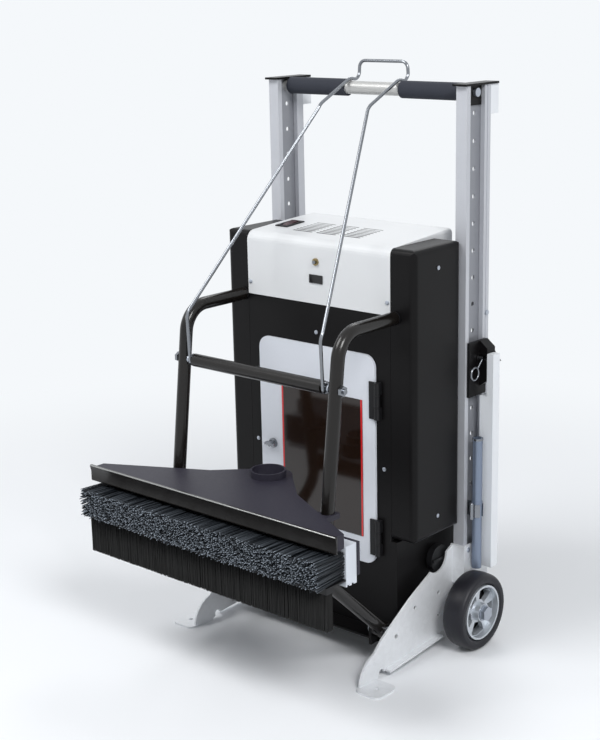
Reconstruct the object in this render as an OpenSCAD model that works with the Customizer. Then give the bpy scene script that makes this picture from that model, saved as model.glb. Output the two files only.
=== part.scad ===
// Escalator cleaning machine: a vacuum cabinet on two wheels with a swinging brush head.
// Millimetres. X to the machine's right, Y to its back, Z up, floor at Z = 0.

/* [Body] */
// Width of the top cover
cover_w = 353; // [330:1:380]
// Width of each side cover
side_w = 54; // [45:1:60]
// Depth of the side covers, up to the uprights
side_d = 144; // [130:1:160]
// Depth of the cabinet and top cover
body_d = 190; // [180:1:200]
// Height of the top cover's lower edge
cover_z = 673; // [650:1:700]
// Height of the top cover's front face
cover_h = 124; // [110:1:140]
// Rise of the top cover from front to back
cover_rise = 11; // [4:1:20]
// Radius of the top cover's front edge
cover_r = 18; // [8:1:30]
// Height of the side covers' lower edge
side_z = 240; // [220:1:260]
// Radius of the side covers' edges
side_r = 12; // [4:1:20]
// Width of the cabinet below the side covers
lower_w = 379; // [370:1:390]
// Underside of the base plate
base_z = 46; // [40:1:50]
// Thickness of the base plate
base_t = 4; // [3:0.5:6]
// Sheet metal thickness
sheet = 2; // [1.5:0.5:3]

/* [Door] */
// Width of the filter door
door_w = 290; // [270:1:300]
// Height of the door's lower edge
door_z = 181; // [170:1:190]
// Height of the door
door_h = 413; // [390:1:420]
// Corner radius of the door
door_r = 24; // [10:1:40]
// Thickness of the door
door_t = 5; // [4:0.5:7]
// Glossy panel's left edge from the door's left edge
label_left = 57.5; // [54:0.5:62]
// Glossy panel's right edge from the door's right edge
label_right = 29.5; // [26:0.5:36]
// Glossy panel's lower edge above the door's lower edge
label_low = 52; // [46:1:60]
// Glossy panel's upper edge below the door's upper edge
label_top = 89; // [80:1:96]
// Height of each hinge
hinge_h = 72; // [50:1:80]
// Radius of the hinge barrel
hinge_r = 6; // [5:0.5:8]
// Radius of the hinge pin
hinge_pin_r = 2.5; // [2:0.1:3]

/* [Frame] */
// Inner face of each upright from the centre plane
upright_x = 217; // [215:1:219]
// Width of the upright's section
upright_w = 24; // [22:1:26]
// Depth of the upright's section
upright_d = 75; // [70:1:80]
// Thickness of the upright's web
web_t = 3; // [2:0.5:4]
// Depth of the upright's front flange
flange_front = 11; // [8:0.5:13]
// Depth of the upright's rear flange
flange_rear = 19; // [16:0.5:20]
// Lower end of the uprights
upright_z = 112; // [110:1:120]
// Top of the uprights
upright_top = 1076; // [1060:1:1090]
// Spacing of the pin holes
hole_pitch = 50.8; // [50:0.1:51]
// Radius of the pin holes
hole_r = 4.5; // [4:0.1:5]
// Highest pin hole below the uprights' top
hole_drop = 50; // [44:1:60]
// Number of pin holes
hole_n = 16; // [12:1:17]
// Pin holes from the upright's front face
hole_y = 38; // [36:0.5:40]

/* [Handle] */
// Handle bar axis below the uprights' top
bar_drop = 13; // [13:1:16]
// Handle bar radius
bar_r = 12.7; // [12:0.1:13]
// Foam grip radius
grip_r = 16.5; // [15:0.5:18]
// Half of the bare length between the grips
bare_half = 67; // [66:1:80]

/* [Wheels and feet] */
// Wheel radius
wheel_r = 76.2; // [74:0.1:78]
// Tyre width
tyre_w = 38; // [34:1:40]
// Rim radius, where the tyre begins
rim_r = 54; // [50:1:58]
// Gap between each wheel and its upright
wheel_gap = 16; // [15:1:20]
// Axle behind the body's front
axle_y = 136; // [135:1:136]
// Axle radius
axle_r = 7.5; // [7:0.1:8]
// Running clearance on shafts
run_gap = 0.05; // [0.02:0.01:0.08]
// Foot plate thickness
foot_t = 4; // [3:0.5:5]
// Toe of the feet ahead of the body's front
toe_y = 148; // [140:1:150]
// Toe pad width
toe_w = 52; // [40:1:55]
// Toe pad depth
toe_d = 62; // [50:1:65]

/* [Head] */
// Tube radius of the head's arms
arm_r = 12.5; // [11:0.5:13]
// Tube wall
arm_wall = 2; // [1.5:0.5:3]
// Arm axis from the centre plane
arm_x = 188; // [187:1:189]
// Height of the arms' upper stretch
arm_top_z = 671; // [660:1:680]
// Upper bend ahead of the body's front
arm_bend_y = 157.4; // [150:0.1:165]
// Bend radius of the arms
arm_bend_r = 52; // [45:1:60]
// Lower bend ahead of the body's front
knee_y = 212; // [205:1:215]
// Height of the lower bend
knee_z = 233; // [228:1:238]
// Head pivot ahead of the body's front
pivot_y = 45; // [44:1:46]
// Height of the head pivot
pivot_z = 75.6; // [74:0.1:77]
// Radius of the pivot bolts
pivot_r = 6; // [5:0.5:7]
// Crossbar height
cross_z = 574; // [565:1:580]
// Overhang of the hood's lip past each end of the brushes
hood_over = 8.5; // [7:0.5:10]
// Height of the hood's top
hood_z = 370; // [366:1:372]
// Hood lip ahead of the body's front
lip_y = 319; // [316:1:322]
// Rise of the lip's ridge above the hood
lip_rise = 4; // [2:1:8]
// Centre of the suction port ahead of the body's front
port_y = 147; // [145:1:150]
// Outer radius of the suction port
port_r = 33.5; // [30:0.5:36]
// Rise of the suction port above the hood
port_rise = 13; // [10:1:20]

/* [Brushes] */
// Length of both brushes
brush_w = 600; // [580:1:604]
// Length of the riser bristles
riser_len = 73; // [65:1:80]
// Riser brush block's front behind the hood's lip
block_in = 34; // [31:1:38]
// Depth of the riser brush block
block_d = 31; // [28:1:33]
// Lowest riser bristles below the hood's top
riser_drop = 82; // [80:1:84]
// Height of the riser bristles' field
riser_h = 48; // [40:1:54]
// Rows of riser bristle tufts
riser_rows = 4; // [3:1:5]
// Riser bristle tufts in a row
riser_n = 52; // [40:1:60]
// Length of the tread skirt's bristles
skirt_len = 66; // [55:1:75]
// Root of the tread skirt's bristles below the riser bristles
skirt_drop = 18; // [15:1:22]
// Front of the tread skirt ahead of the riser brush block
skirt_out = 48; // [45:1:50]
// Thickness of the tread skirt
skirt_d = 17; // [12:1:20]
// Skirt bristle tufts in a row
skirt_n = 80; // [60:1:90]
// Rows of skirt bristle tufts
skirt_rows = 3; // [2:1:3]
// Thickness of one tuft
tuft = 3; // [2:0.5:3.5]

/* [Bail] */
// Radius of the bail wire
wire_r = 3.25; // [3:0.05:3.5]
// Bail eye from the centre plane
eye_x = 169; // [168:1:169]
// Height of the lower bend above the crossbar
bail_bend_h = 90; // [85:1:100]
// Lower bend ahead of the crossbar
bail_bend_y = 12; // [5:1:15]
// Bail at its lower bend, from the centre plane
bail_bend_x = 165; // [160:1:166]
// Upper bend ahead of the handle bar
hook_bend_y = 92; // [80:1:100]
// Upper bend below the handle bar
hook_bend_h = 25; // [15:1:30]
// Bail hooks from the inner ends of the grips
hook_in = 7.5; // [6.5:0.5:9]
// Gap between the wire and the handle bar
hook_gap = 1.2; // [0.8:0.1:1.5]
// Top of the finger loop above the handle bar's axis
loop_h = 50; // [45:1:58]
// Half width of the finger loop's top
loop_x = 45; // [40:1:50]
// Finger loop behind the handle bar's axis
loop_y = 26; // [24:1:30]

/* [Rear legs] */
// Gap between each leg and its upright
leg_gap = 7; // [6:1:9]
// Width of the leg channel
leg_w = 30; // [28:1:32]
// Depth of the leg channel
leg_d = 22; // [20:1:24]
// Front of the leg behind the upright's front
leg_in = 39; // [38:1:41]
// Lower end of the leg
leg_z = 150; // [149:1:155]
// Top of the leg above its pivot
leg_up = 26; // [22:1:28]
// Height of the leg pivot
leg_pivot_z = 552; // [548:1:555]
// Slide bracket's lower edge below the leg pivot
bracket_drop = 56; // [54:1:58]
// Height of the slide bracket
bracket_h = 106; // [100:1:110]
// Radius of the locking plunger
plunger_r = 4; // [3.5:0.1:4.2]

/* [Controls] */
// Switch centre left of the centre plane
switch_x = 140; // [130:1:145]
// Switch centre behind the body's front
switch_y = 85; // [75:1:95]
// Switch opening along the cover
switch_len = 44; // [42:1:46]
// Switch opening across the cover
switch_w = 23; // [22:1:26]
// Radius of the breaker button
button_r = 5; // [4:0.5:6]
// Height of the breaker button
button_z = 754; // [745:1:760]

/* [Hidden] */
$fn = 64;
over = 1;
arc_n = 6;
gap = 0.5;
move_gap = 0.3;
lap = 0.6;
cover_top_z = cover_z + cover_h;
label_w = door_w - label_left - label_right;
label_h = door_h - label_low - label_top;
hole_top = upright_top - hole_drop;
bar_y = side_d + hole_y;
bar_z = upright_top - bar_drop;
wheel_x = upright_x + upright_w + wheel_gap + tyre_w;
hood_w = brush_w + 2 * hood_over;
lip_z = hood_z + lip_rise;
port_z = hood_z + port_rise;
block_y = lip_y - block_in;
reach = block_y + riser_len;
riser_z = hood_z - riser_drop;
skirt_root_z = riser_z - skirt_drop;
skirt_z = skirt_root_z - skirt_len;
skirt_y = block_y + skirt_out;
arm_lean = atan2(knee_y - arm_bend_y, arm_top_z - knee_z);
cross_y = knee_y - (cross_z - knee_z) * tan(arm_lean);
hook_x = bare_half - hook_in;
loop_z = bar_z + loop_h;
leg_x = upright_x + upright_w + leg_gap;
leg_y = side_d + leg_in;
leg_top = leg_pivot_z + leg_up;
bracket_z = leg_pivot_z - bracket_drop;
rear = side_d + upright_d + leg_d + sheet + over;
body_y = (reach - rear) / 2;
panel_t = 3;
lug_t = 6;
bolt_r = 5;
screw_r = 4;
screw_h = 2.5;
white = [0.93, 0.94, 0.95];
black = [0.12, 0.12, 0.13];
alu = [0.72, 0.74, 0.78];
steel = [0.62, 0.64, 0.67];
chrome = [0.85, 0.86, 0.88];
slate = [0.24, 0.25, 0.3];

// Points of an arc round c, from angle a to angle b
function arc(c, r, a, b, n = arc_n) =
    [for (i = [0:n]) c + r * [cos(a + (b - a) * i / n), sin(a + (b - a) * i / n)]];
// Points of a rounded rectangle with its lower left corner at p
function round_rect(p, w, h, r) = concat(
    arc(p + [w - r, r], r, -90, 0), arc(p + [w - r, h - r], r, 0, 90),
    arc(p + [r, h - r], r, 90, 180), arc(p + [r, r], r, 180, 270));
function unit(v) = v / norm(v);
// Points of the rounded corner b between the directions to a and to c
function corner(a, b, c, r) = let (
    p = unit(a - b),
    q = unit(c - b),
    half = acos(p * q) / 2,
    m = b + unit(p + q) * r / sin(half),
    s = b + p * r / tan(half) - m,
    e = b + q * r / tan(half) - m,
    first = atan2(s.y, s.x))
    arc(m, r, first, first + swing(atan2(e.y, e.x) - first));
function swing(a) = a > 180 ? a - 360 : a < -180 ? a + 360 : a;

// Places children so that Y = 0 is the body's front face
module machine() translate([0, body_y, 0]) children();
// Extrudes a Y-Z outline along X from x
module along_x(x, w) translate([x, 0, 0]) rotate([90, 0, 90]) linear_extrude(w) children();
// Extrudes an X-Z outline along Y from y
module along_y(y, d) translate([0, y + d, 0]) rotate([90, 0, 0]) linear_extrude(d) children();
module both_sides() {
    children();
    mirror([1, 0, 0]) children();
}
module rod_x(x, y, z, r, w) translate([x, y, z]) rotate([0, 90, 0]) cylinder(r = r, h = w);
module rod_y(x, y, z, r, d) translate([x, y, z]) rotate([-90, 0, 0]) cylinder(r = r, h = d);
module rod_z(x, y, z, r, h) translate([x, y, z]) cylinder(r = r, h = h);
module block(x0, x1, y0, y1, z0, z1) translate([x0, y0, z0]) cube([x1 - x0, y1 - y0, z1 - z0]);
module ring(r, wall) {
    difference() {
        circle(r = r);
        circle(r = r - wall);
    }
}

// A bent tube in the X-Y plane through the corner points p, with bend radius br
module bent_tube(p, br, r, wall) {
    last = len(p) - 1;
    dir = [for (i = [0:last - 1]) atan2(p[i + 1].y - p[i].y, p[i + 1].x - p[i].x)];
    turn = [for (i = [0:last]) i == 0 || i == last ? 0 : swing(dir[i] - dir[i - 1])];
    cut = [for (t = turn) t == 0 ? 0 : br * tan(abs(t) / 2) - lap];
    for (i = [0:last - 1])
        translate(p[i] + cut[i] * [cos(dir[i]), sin(dir[i])])
            rotate([0, 0, dir[i]])
            rotate([0, 90, 0])
            linear_extrude(norm(p[i + 1] - p[i]) - cut[i] - cut[i + 1]) ring(r, wall);
    for (i = [1:last - 1]) {
        side = sign(turn[i]);
        centre = p[i] - (cut[i] + lap) * [cos(dir[i - 1]), sin(dir[i - 1])]
            + side * br * [-sin(dir[i - 1]), cos(dir[i - 1])];
        translate(centre)
            rotate([0, 0, dir[i - 1] - side * 90 + min(turn[i], 0)])
            rotate_extrude(angle = abs(turn[i])) translate([br, 0]) ring(r + run_gap, wall + 2 * run_gap);
    }
}

// A round wire swept along a list of points, its section carried without twist
module wire(p, r, n) {
    last = len(p) - 1;
    t = [for (i = [0:last]) unit(p[min(i + 1, last)] - p[max(i - 1, 0)])];
    first = unit(cross(t[0], [1, 0, 0]));
    u = [for (i = 0, v = first; i <= last; i = i + 1,
        v = unit(v - (v * t[min(i, last)]) * t[min(i, last)])) v];
    rings = [for (i = [0:last]) for (k = [0:n - 1])
        p[i] + r * (cos(360 * k / n) * u[i] + sin(360 * k / n) * cross(t[i], u[i]))];
    sides = [for (i = [0:last - 1]) for (k = [0:n - 1])
        [i * n + k, (i + 1) * n + k, (i + 1) * n + (k + 1) % n, i * n + (k + 1) % n]];
    ends = [[for (k = [0:n - 1]) k], [for (k = [0:n - 1]) last * n + n - 1 - k]];
    polyhedron(rings, concat(sides, ends));
}

// Cabinet, open at the front and the top
back_gap = 4;
module cabinet() color(black) machine() difference() {
    union() {
        block(-cover_w / 2, cover_w / 2, panel_t, body_d, base_z + base_t, cover_z);
        block(-lower_w / 2, lower_w / 2, panel_t, body_d, base_z + base_t, side_z - back_gap);
    }
    block(sheet - cover_w / 2, cover_w / 2 - sheet, 0, body_d - sheet,
        base_z + base_t + sheet, cover_z + over);
    block(sheet - lower_w / 2, lower_w / 2 - sheet, 0, body_d - sheet,
        base_z + base_t + sheet, side_z - back_gap - sheet);
    rod_x(lower_w / 2 - sheet - over, inlet_y, inlet_z, inlet_r, sheet + 2 * over);
}

inlet_y = 113;
inlet_z = 174;
inlet_r = 20;
door_x = -2;
latch_in = 32;
latch_up = 196;
latch_x = door_x - door_w / 2 + latch_in;
latch_z = door_z + latch_up;
frame_in = 8;
module front_panel() color(black) machine() difference() {
    union() {
        block(-cover_w / 2, cover_w / 2, 0, panel_t, base_z + base_t, cover_z - gap);
        block(-lower_w / 2, lower_w / 2, 0, panel_t, base_z + base_t, side_z - back_gap);
    }
    along_y(-over, panel_t + 2 * over)
        polygon(round_rect([door_x - door_w / 2 + frame_in, door_z + frame_in],
            door_w - 2 * frame_in, door_h - 2 * frame_in, door_r - frame_in));
}

lug_w = 32;
base_front = 42;
rail_w = 14;
module base_plate() color(black) machine() {
    difference() {
        union() {
            block(-cover_w / 2, cover_w / 2, -base_front, body_d, base_z, base_z + base_t);
            block(foot_t - upright_x, upright_x - foot_t, axle_y - rim_r, axle_y - 2 * axle_r,
                base_z, base_z + base_t);
            both_sides() block(arm_x - arm_r - over - lug_t, arm_x - arm_r - over,
                -pivot_y - lug_w / 2, lug_w / 2 - pivot_y, base_z, pivot_z);
            both_sides() rod_x(arm_x - arm_r - over - lug_t, -pivot_y, pivot_z, lug_w / 2, lug_t);
        }
        rod_x(-arm_x, -pivot_y, pivot_z, pivot_r + run_gap, 2 * arm_x);
    }
}

// White cover: a side outline with a rounded front edge, between rounded top edges
slot_n = 8;
slot_w = 3;
slot_pitch = 10;
slot_len = 48;
slot_x = 98;
slot_y = 47;
slot_bars = 3;
slot_step = 59;
function cover_side(i) = concat(
    [[i, cover_z], [body_d - i, cover_z], [body_d - i, cover_top_z + cover_rise - i]],
    arc([cover_r, cover_top_z - cover_r], cover_r - i, 90, 180));
module top_cover() color(white) machine() difference() {
    intersection() {
        along_x(-cover_w / 2, cover_w) polygon(cover_side(0));
        along_y(0, body_d) polygon(round_rect([-cover_w / 2, cover_z - cover_r],
            cover_w, cover_top_z + cover_rise - cover_z + cover_r, cover_r / 2));
    }
    along_x(sheet - cover_w / 2, cover_w - 2 * sheet) translate([0, -over]) polygon(cover_side(sheet));
    for (i = [0:slot_n - 1]) for (k = [0:slot_bars - 1])
        translate([k * slot_step - slot_x, slot_y + i * slot_pitch, cover_top_z - cover_r])
        cube([slot_len, slot_w, 2 * cover_r]);
    block(-switch_x - switch_w / 2, switch_w / 2 - switch_x, switch_y - switch_len / 2,
        switch_y + switch_len / 2, cover_top_z - cover_r, cover_top_z + cover_r);
    rod_y(0, -over, button_z, button_r + over, sheet + 3 * over);
}

// Side cover: a rounded box, open towards the cabinet
side_x = cover_w / 2 + gap;
module side_box(i) intersection() {
    along_y(i, side_d - 2 * i) polygon(round_rect([side_x - side_w, side_z + i],
        2 * side_w - i, cover_top_z - side_z - 2 * i, side_r));
    translate([0, 0, side_z]) linear_extrude(cover_top_z - side_z)
        polygon(round_rect([side_x - side_w, i], 2 * side_w - i, side_d - 2 * i, side_r));
    along_x(side_x, side_w)
        polygon(round_rect([i, side_z + i], side_d - 2 * i, cover_top_z - side_z - 2 * i, side_r));
}
module side_cover() color(black) machine() difference() {
    side_box(0);
    translate([-over, 0, 0]) side_box(sheet);
}
module side_cover_right() side_cover();
module side_cover_left() mirror([1, 0, 0]) side_cover();

rail_h = 40;
rail_low = 262;
rail_high = 630;
module cross_rails() color(black) machine() for (z = [rail_low, rail_high])
    block(-upright_x, upright_x, body_d, side_d + upright_d - sheet, z, z + rail_h);

// Upright: an extruded section of two flanges and a thin web with pin holes, open on both sides
groove_y = 63;
groove_w = 3;
groove_d = 1.2;
web_in = upright_x + (upright_w - web_t) / 2;
web_out = web_in + web_t;
web_y = side_d + flange_front;
web_d = upright_d - flange_front - flange_rear;
module upright() color(alu) machine() difference() {
    translate([0, 0, upright_z]) linear_extrude(upright_top - upright_z) difference() {
        translate([upright_x, side_d]) square([upright_w, upright_d]);
        translate([upright_x - over, web_y]) square([web_in - upright_x + over, web_d]);
        translate([web_out, web_y]) square([web_in - upright_x + over, web_d]);
        translate([upright_x + upright_w - groove_d, side_d + groove_y]) square([groove_w, groove_w]);
    }
    for (i = [0:hole_n - 1])
        rod_x(web_in - over, side_d + hole_y, hole_top - i * hole_pitch, hole_r, web_t + 2 * over);
}
module upright_right() upright();
module upright_left() mirror([1, 0, 0]) upright();

plate_t = 4;
plate_front = 8;
plate_out = 3;
tab_h = 36;
module end_plates() color(black) machine() both_sides() {
    block(upright_x - plate_out, upright_x + upright_w + plate_out, side_d - plate_front,
        side_d + upright_d + leg_d, upright_top, upright_top + plate_t);
    block(web_out, web_out + plate_out, web_y + gap, web_y + web_d - gap, upright_top - tab_h, upright_top);
}

block_h = 54;
module rest_blocks() color(white) machine() both_sides()
    block(upright_x, upright_x + upright_w, side_d + upright_d, side_d + upright_d + leg_d + sheet + over,
        upright_top - block_h, upright_top);

module handle_bar() color(chrome) machine() difference() {
    rod_x(-web_in, bar_y, bar_z, bar_r, 2 * web_in);
    rod_x(-web_in - over, bar_y, bar_z, bar_r - arm_wall, 2 * web_in + 2 * over);
}
module grip() color(black) machine() difference() {
    rod_x(bare_half, bar_y, bar_z, grip_r, upright_x - plate_out - gap - bare_half);
    rod_x(bare_half - over, bar_y, bar_z, bar_r + run_gap, upright_x);
}
module grip_right() grip();
module grip_left() mirror([1, 0, 0]) grip();

// Foot: a plate with a toe pad and a lower flange, stepped out round the upright
foot_hole_r = 4.5;
foot_hole_shares = [[0.14, 0.53], [-0.26, 0.34], [0.65, 0.56], [0.65, 0.33]];
notch_r = 31;
notch_y = 91;
notch_z = 185;
foot_rear = 168;
foot_low = 40;
foot_top = 198;
step_z = 118;
brow_shares = [[0.39, 0.78], [0.03, 0.65], [-0.55, 0.39]];
toe_r = 58;
heel_y = 84;
heel_z = 10;
heel_r = 7;
strip_front = 74;
strip_rear = 92;
strip_z = 22;
strip_w = 14;
pad_y = 162;
pad_r = 14;
strip_ends = [[-strip_front, heel_z], [strip_rear, strip_z]];
function on_foot(share) = [share.x * toe_y, share.y * foot_top];
function foot_side() = concat(
    [[foot_rear, foot_low], [foot_rear, step_z], [side_d, step_z], [side_d, foot_top]],
    [for (share = brow_shares) on_foot(share)], arc([toe_r - toe_y, 0], toe_r, 105, 180),
    [[toe_d - pad_y, 0], [-heel_y, heel_z]], strip_ends);
module foot() color(alu) machine() difference() {
    union() {
        along_x(upright_x - foot_t, foot_t) polygon(foot_side());
        along_x(upright_x - foot_t, strip_w + foot_t)
            polygon(concat(strip_ends, [strip_ends[1] + [0, foot_t], strip_ends[0] + [0, foot_t]]));
        block(upright_x - foot_t, upright_x + upright_w + foot_t, side_d - foot_t, side_d,
            step_z, foot_top);
        block(upright_x + upright_w, upright_x + upright_w + foot_t, side_d - foot_t,
            side_d + upright_d, step_z, foot_top);
        linear_extrude(foot_t)
            polygon(round_rect([upright_x - foot_t, -pad_y], toe_w + foot_t, toe_d, pad_r));
    }
    rod_x(upright_x - 2 * foot_t, axle_y, wheel_r, axle_r + run_gap, 3 * foot_t);
    rod_x(upright_x - 2 * foot_t, notch_y, notch_z, notch_r, 3 * foot_t);
    rod_x(upright_x - 2 * foot_t, -heel_y, heel_z, heel_r, 3 * foot_t);
    for (share = foot_hole_shares)
        rod_x(upright_x - 2 * foot_t, on_foot(share).x, on_foot(share).y, foot_hole_r, 3 * foot_t);
    rod_z(upright_x + toe_w / 2, toe_d / 2 - pad_y, -over, foot_hole_r, foot_t + 2 * over);
}
module foot_right() foot();
module foot_left() mirror([1, 0, 0]) foot();

nut_h = 8;
nut_r = 15;
module axle() color(steel) machine() both_sides()
    rod_x(upright_x - 2 * foot_t, axle_y, wheel_r, axle_r, wheel_x + nut_h - upright_x + 2 * foot_t);
module axle_nuts() color(chrome) machine() both_sides() {
    difference() {
        union() {
            rod_x(wheel_x + move_gap, axle_y, wheel_r, nut_r + over, sheet);
            translate([wheel_x + move_gap + sheet, axle_y, wheel_r]) rotate([0, 90, 0])
                cylinder(r = nut_r, h = nut_h, $fn = 6);
        }
        rod_x(wheel_x - over, axle_y, wheel_r, axle_r + run_gap, nut_h + over);
    }
    difference() {
        rod_x(wheel_x - tyre_w - nut_h, axle_y, wheel_r, 2 * axle_r, nut_h - over);
        rod_x(wheel_x - tyre_w - 2 * nut_h, axle_y, wheel_r, axle_r + run_gap, 2 * nut_h);
    }
}

// Wheel: a rubber tyre on a cast hub with windows between its spokes
tread_r = 10;
rim_lip = 4;
disc_t = 5;
window_n = 5;
window_in = 23;
window_half = 25;
hub_r = 18;
module wheel_at() machine() translate([wheel_x - tyre_w, axle_y, wheel_r]) rotate([0, 90, 0]) children();
module tyre() color(black) wheel_at() rotate_extrude() polygon(concat([[rim_r, 0]],
    arc([wheel_r - tread_r, tread_r], tread_r, -90, 0),
    arc([wheel_r - tread_r, tyre_w - tread_r], tread_r, 0, 90),
    [[rim_r, tyre_w]]));
module tyre_right() tyre();
module tyre_left() mirror([1, 0, 0]) tyre();
module hub() color(steel) wheel_at() difference() {
    rotate_extrude() polygon([[axle_r + run_gap, 0], [hub_r, 0], [hub_r, tyre_w / 2 - disc_t],
        [rim_r - rim_lip, tyre_w / 2 - disc_t], [rim_r - rim_lip, over], [rim_r - run_gap, over],
        [rim_r - run_gap, tyre_w - over], [rim_r - rim_lip, tyre_w - over],
        [rim_r - rim_lip, tyre_w / 2 + disc_t],
        [hub_r, tyre_w / 2 + disc_t], [hub_r, tyre_w], [axle_r + run_gap, tyre_w]]);
    for (i = [0:window_n - 1]) rotate([0, 0, 360 * i / window_n - window_half])
        rotate_extrude(angle = 2 * window_half) translate([window_in, tyre_w / 2 - disc_t - over])
        square([rim_r - rim_lip - over - window_in, 2 * disc_t + 2 * over]);
}
module hub_right() hub();
module hub_left() mirror([1, 0, 0]) hub();

// Inside: motor and fan under the top cover, filter bag behind the door
shelf_drop = 61;
shelf_z = cover_z - shelf_drop;
motor_r = 62;
motor_h = 95;
fan_r = 82;
fan_h = 46;
cap_h = 8;
works_y = 98;
module fan_housing() color(alu) machine() {
    rod_z(0, works_y, shelf_z + sheet, fan_r, fan_h);
    block(sheet - cover_w / 2, cover_w / 2 - sheet, panel_t, body_d - sheet, shelf_z, shelf_z + sheet);
}
module vacuum_motor() color(steel) machine() {
    rod_z(0, works_y, shelf_z + sheet + fan_h, motor_r, motor_h);
    rod_z(0, works_y, shelf_z + sheet + fan_h + motor_h, hub_r, cap_h);
}
bag_w = 240;
bag_d = 120;
bag_h = 320;
bag_drop = 32;
bag_z = shelf_z - bag_drop - bag_h;
bag_neck = 30;
module filter_bag() color("beige") machine() {
    translate([0, works_y, bag_z]) linear_extrude(bag_h)
        polygon(round_rect([-bag_w / 2, -bag_d / 2], bag_w, bag_d, bag_d / 3));
    rod_z(0, works_y, bag_z, bag_neck, shelf_z - bag_z);
}

// Side inlet with its quarter-turn cap
collar_t = 4;
collar_len = 20;
module inlet_collar() color(black) machine() difference() {
    rod_x(lower_w / 2 - collar_len, inlet_y, inlet_z, inlet_r - run_gap, collar_len + collar_t);
    rod_x(lower_w / 2 - collar_len - over, inlet_y, inlet_z, inlet_r - collar_t,
        collar_len + collar_t + 2 * over);
}
cap_r = 27;
cap_len = 16;
cap_rib = 3;
module port_cap() color(black) machine() {
    rod_x(lower_w / 2 + collar_t + move_gap, inlet_y, inlet_z, cap_r, cap_len - cap_rib);
    rod_x(lower_w / 2 - collar_t, inlet_y, inlet_z, inlet_r - collar_t - move_gap, 2 * collar_t + over);
    block(lower_w / 2 + collar_t + over, lower_w / 2 + collar_t + move_gap + cap_len,
        inlet_y - cap_r + cap_rib, inlet_y + cap_r - cap_rib, inlet_z - cap_rib, inlet_z + cap_rib);
}

// Rocker switch in a bezel let into the cover
pocket_h = 20;
bezel_lip = 4;
rocker_tilt = 8;
rocker_h = 9;
slope = atan2(cover_rise, body_d - cover_r);
switch_z = cover_top_z + (switch_y - cover_r) * tan(slope);
module switch_at() machine() translate([-switch_x, switch_y, switch_z]) rotate([slope, 0, 0]) children();
module switch_bezel() color(black) switch_at() difference() {
    union() {
        translate([-switch_w / 2 - bezel_lip, -switch_len / 2 - bezel_lip, gap])
            cube([switch_w + 2 * bezel_lip, switch_len + 2 * bezel_lip, sheet]);
        translate([gap - switch_w / 2, gap - switch_len / 2, -pocket_h])
            cube([switch_w - 2 * gap, switch_len - 2 * gap, pocket_h + sheet]);
    }
    translate([sheet - switch_w / 2, sheet - switch_len / 2, sheet - pocket_h])
        cube([switch_w - 2 * sheet, switch_len - 2 * sheet, pocket_h + sheet]);
    rod_x(-switch_w, 0, -rocker_h / 2, rocker_pin_r + run_gap, 2 * switch_w);
}
rocker_len = 17;
rocker_foot = 9;
rocker_pin_r = 2;
module rocker() color("firebrick") switch_at()
    translate([0, 0, -rocker_h / 2]) rotate([rocker_tilt, 0, 0]) {
    along_x(sheet + gap - switch_w / 2, switch_w - 2 * sheet - 2 * gap)
        polygon([[-rocker_foot, -rocker_foot], [rocker_foot, -rocker_foot],
            [rocker_len, rocker_foot - sheet], [0, rocker_foot - over], [-rocker_len, rocker_foot - sheet]]);
    rod_x(over - switch_w / 2, 0, 0, rocker_pin_r, switch_w - 2 * over);
}

button_len = 16;
button_out = 7;
module breaker_ring() color("goldenrod") machine() difference() {
    union() {
        rod_y(0, -sheet - over, button_z, button_r + sheet, sheet + over);
        rod_y(0, -over, button_z, button_r + over - move_gap, button_len);
    }
    rod_y(0, -button_len, button_z, button_r - over, 3 * button_len);
}
module breaker_button() color(chrome) machine()
    rod_y(0, -button_out, button_z, button_r - over - move_gap, button_out + button_len - over);

meter_w = 32;
meter_h = 16;
meter_z = 713;
meter_t = 2;
module hour_meter() color("black") machine()
    block(-meter_w / 2, meter_w / 2, -meter_t, 0, meter_z, meter_z + meter_h);

// Screw heads on the covers and panel, bolts on the frame
screw_in = 6.5;
screw_up = 24;
edge_x = cover_w / 2 - screw_in;
beside_x = (cover_w + door_w) / 4;
front_screws = [[-edge_x, cover_z + screw_up], [edge_x, cover_z + screw_up],
    [door_x, door_z + door_h + screw_up], [-beside_x, latch_z], [beside_x, latch_z]];
module dome(r, h) intersection() {
    cylinder(r = r, h = h);
    translate([0, 0, h - 2 * r]) sphere(r = 2 * r);
}
module cover_screws() color(chrome) machine() {
    for (p = front_screws) translate([p.x, 0, p.y]) rotate([90, 0, 0]) dome(screw_r, screw_h);
    both_sides() for (z = [side_z + rail_h, cover_top_z - rail_h])
        translate([side_x + side_w, side_d / 2, z]) rotate([0, 90, 0]) dome(screw_r, screw_h);
}
module frame_bolts() color(chrome) machine() both_sides() {
    rod_x(web_out + plate_out, bar_y, bar_z, 2 * screw_r, bolt_r);
    for (z = [step_z + 2 * bolt_r, foot_top - 2 * bolt_r])
        translate([upright_x + upright_w + foot_t, side_d + 2 * bolt_r, z]) rotate([0, 90, 0])
            dome(bolt_r, screw_h);
    for (z = [rail_low, rail_high])
        rod_x(upright_x + upright_w, side_d + upright_d - bolt_r - over, z + rail_h / 2, bolt_r, sheet);
}

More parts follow.
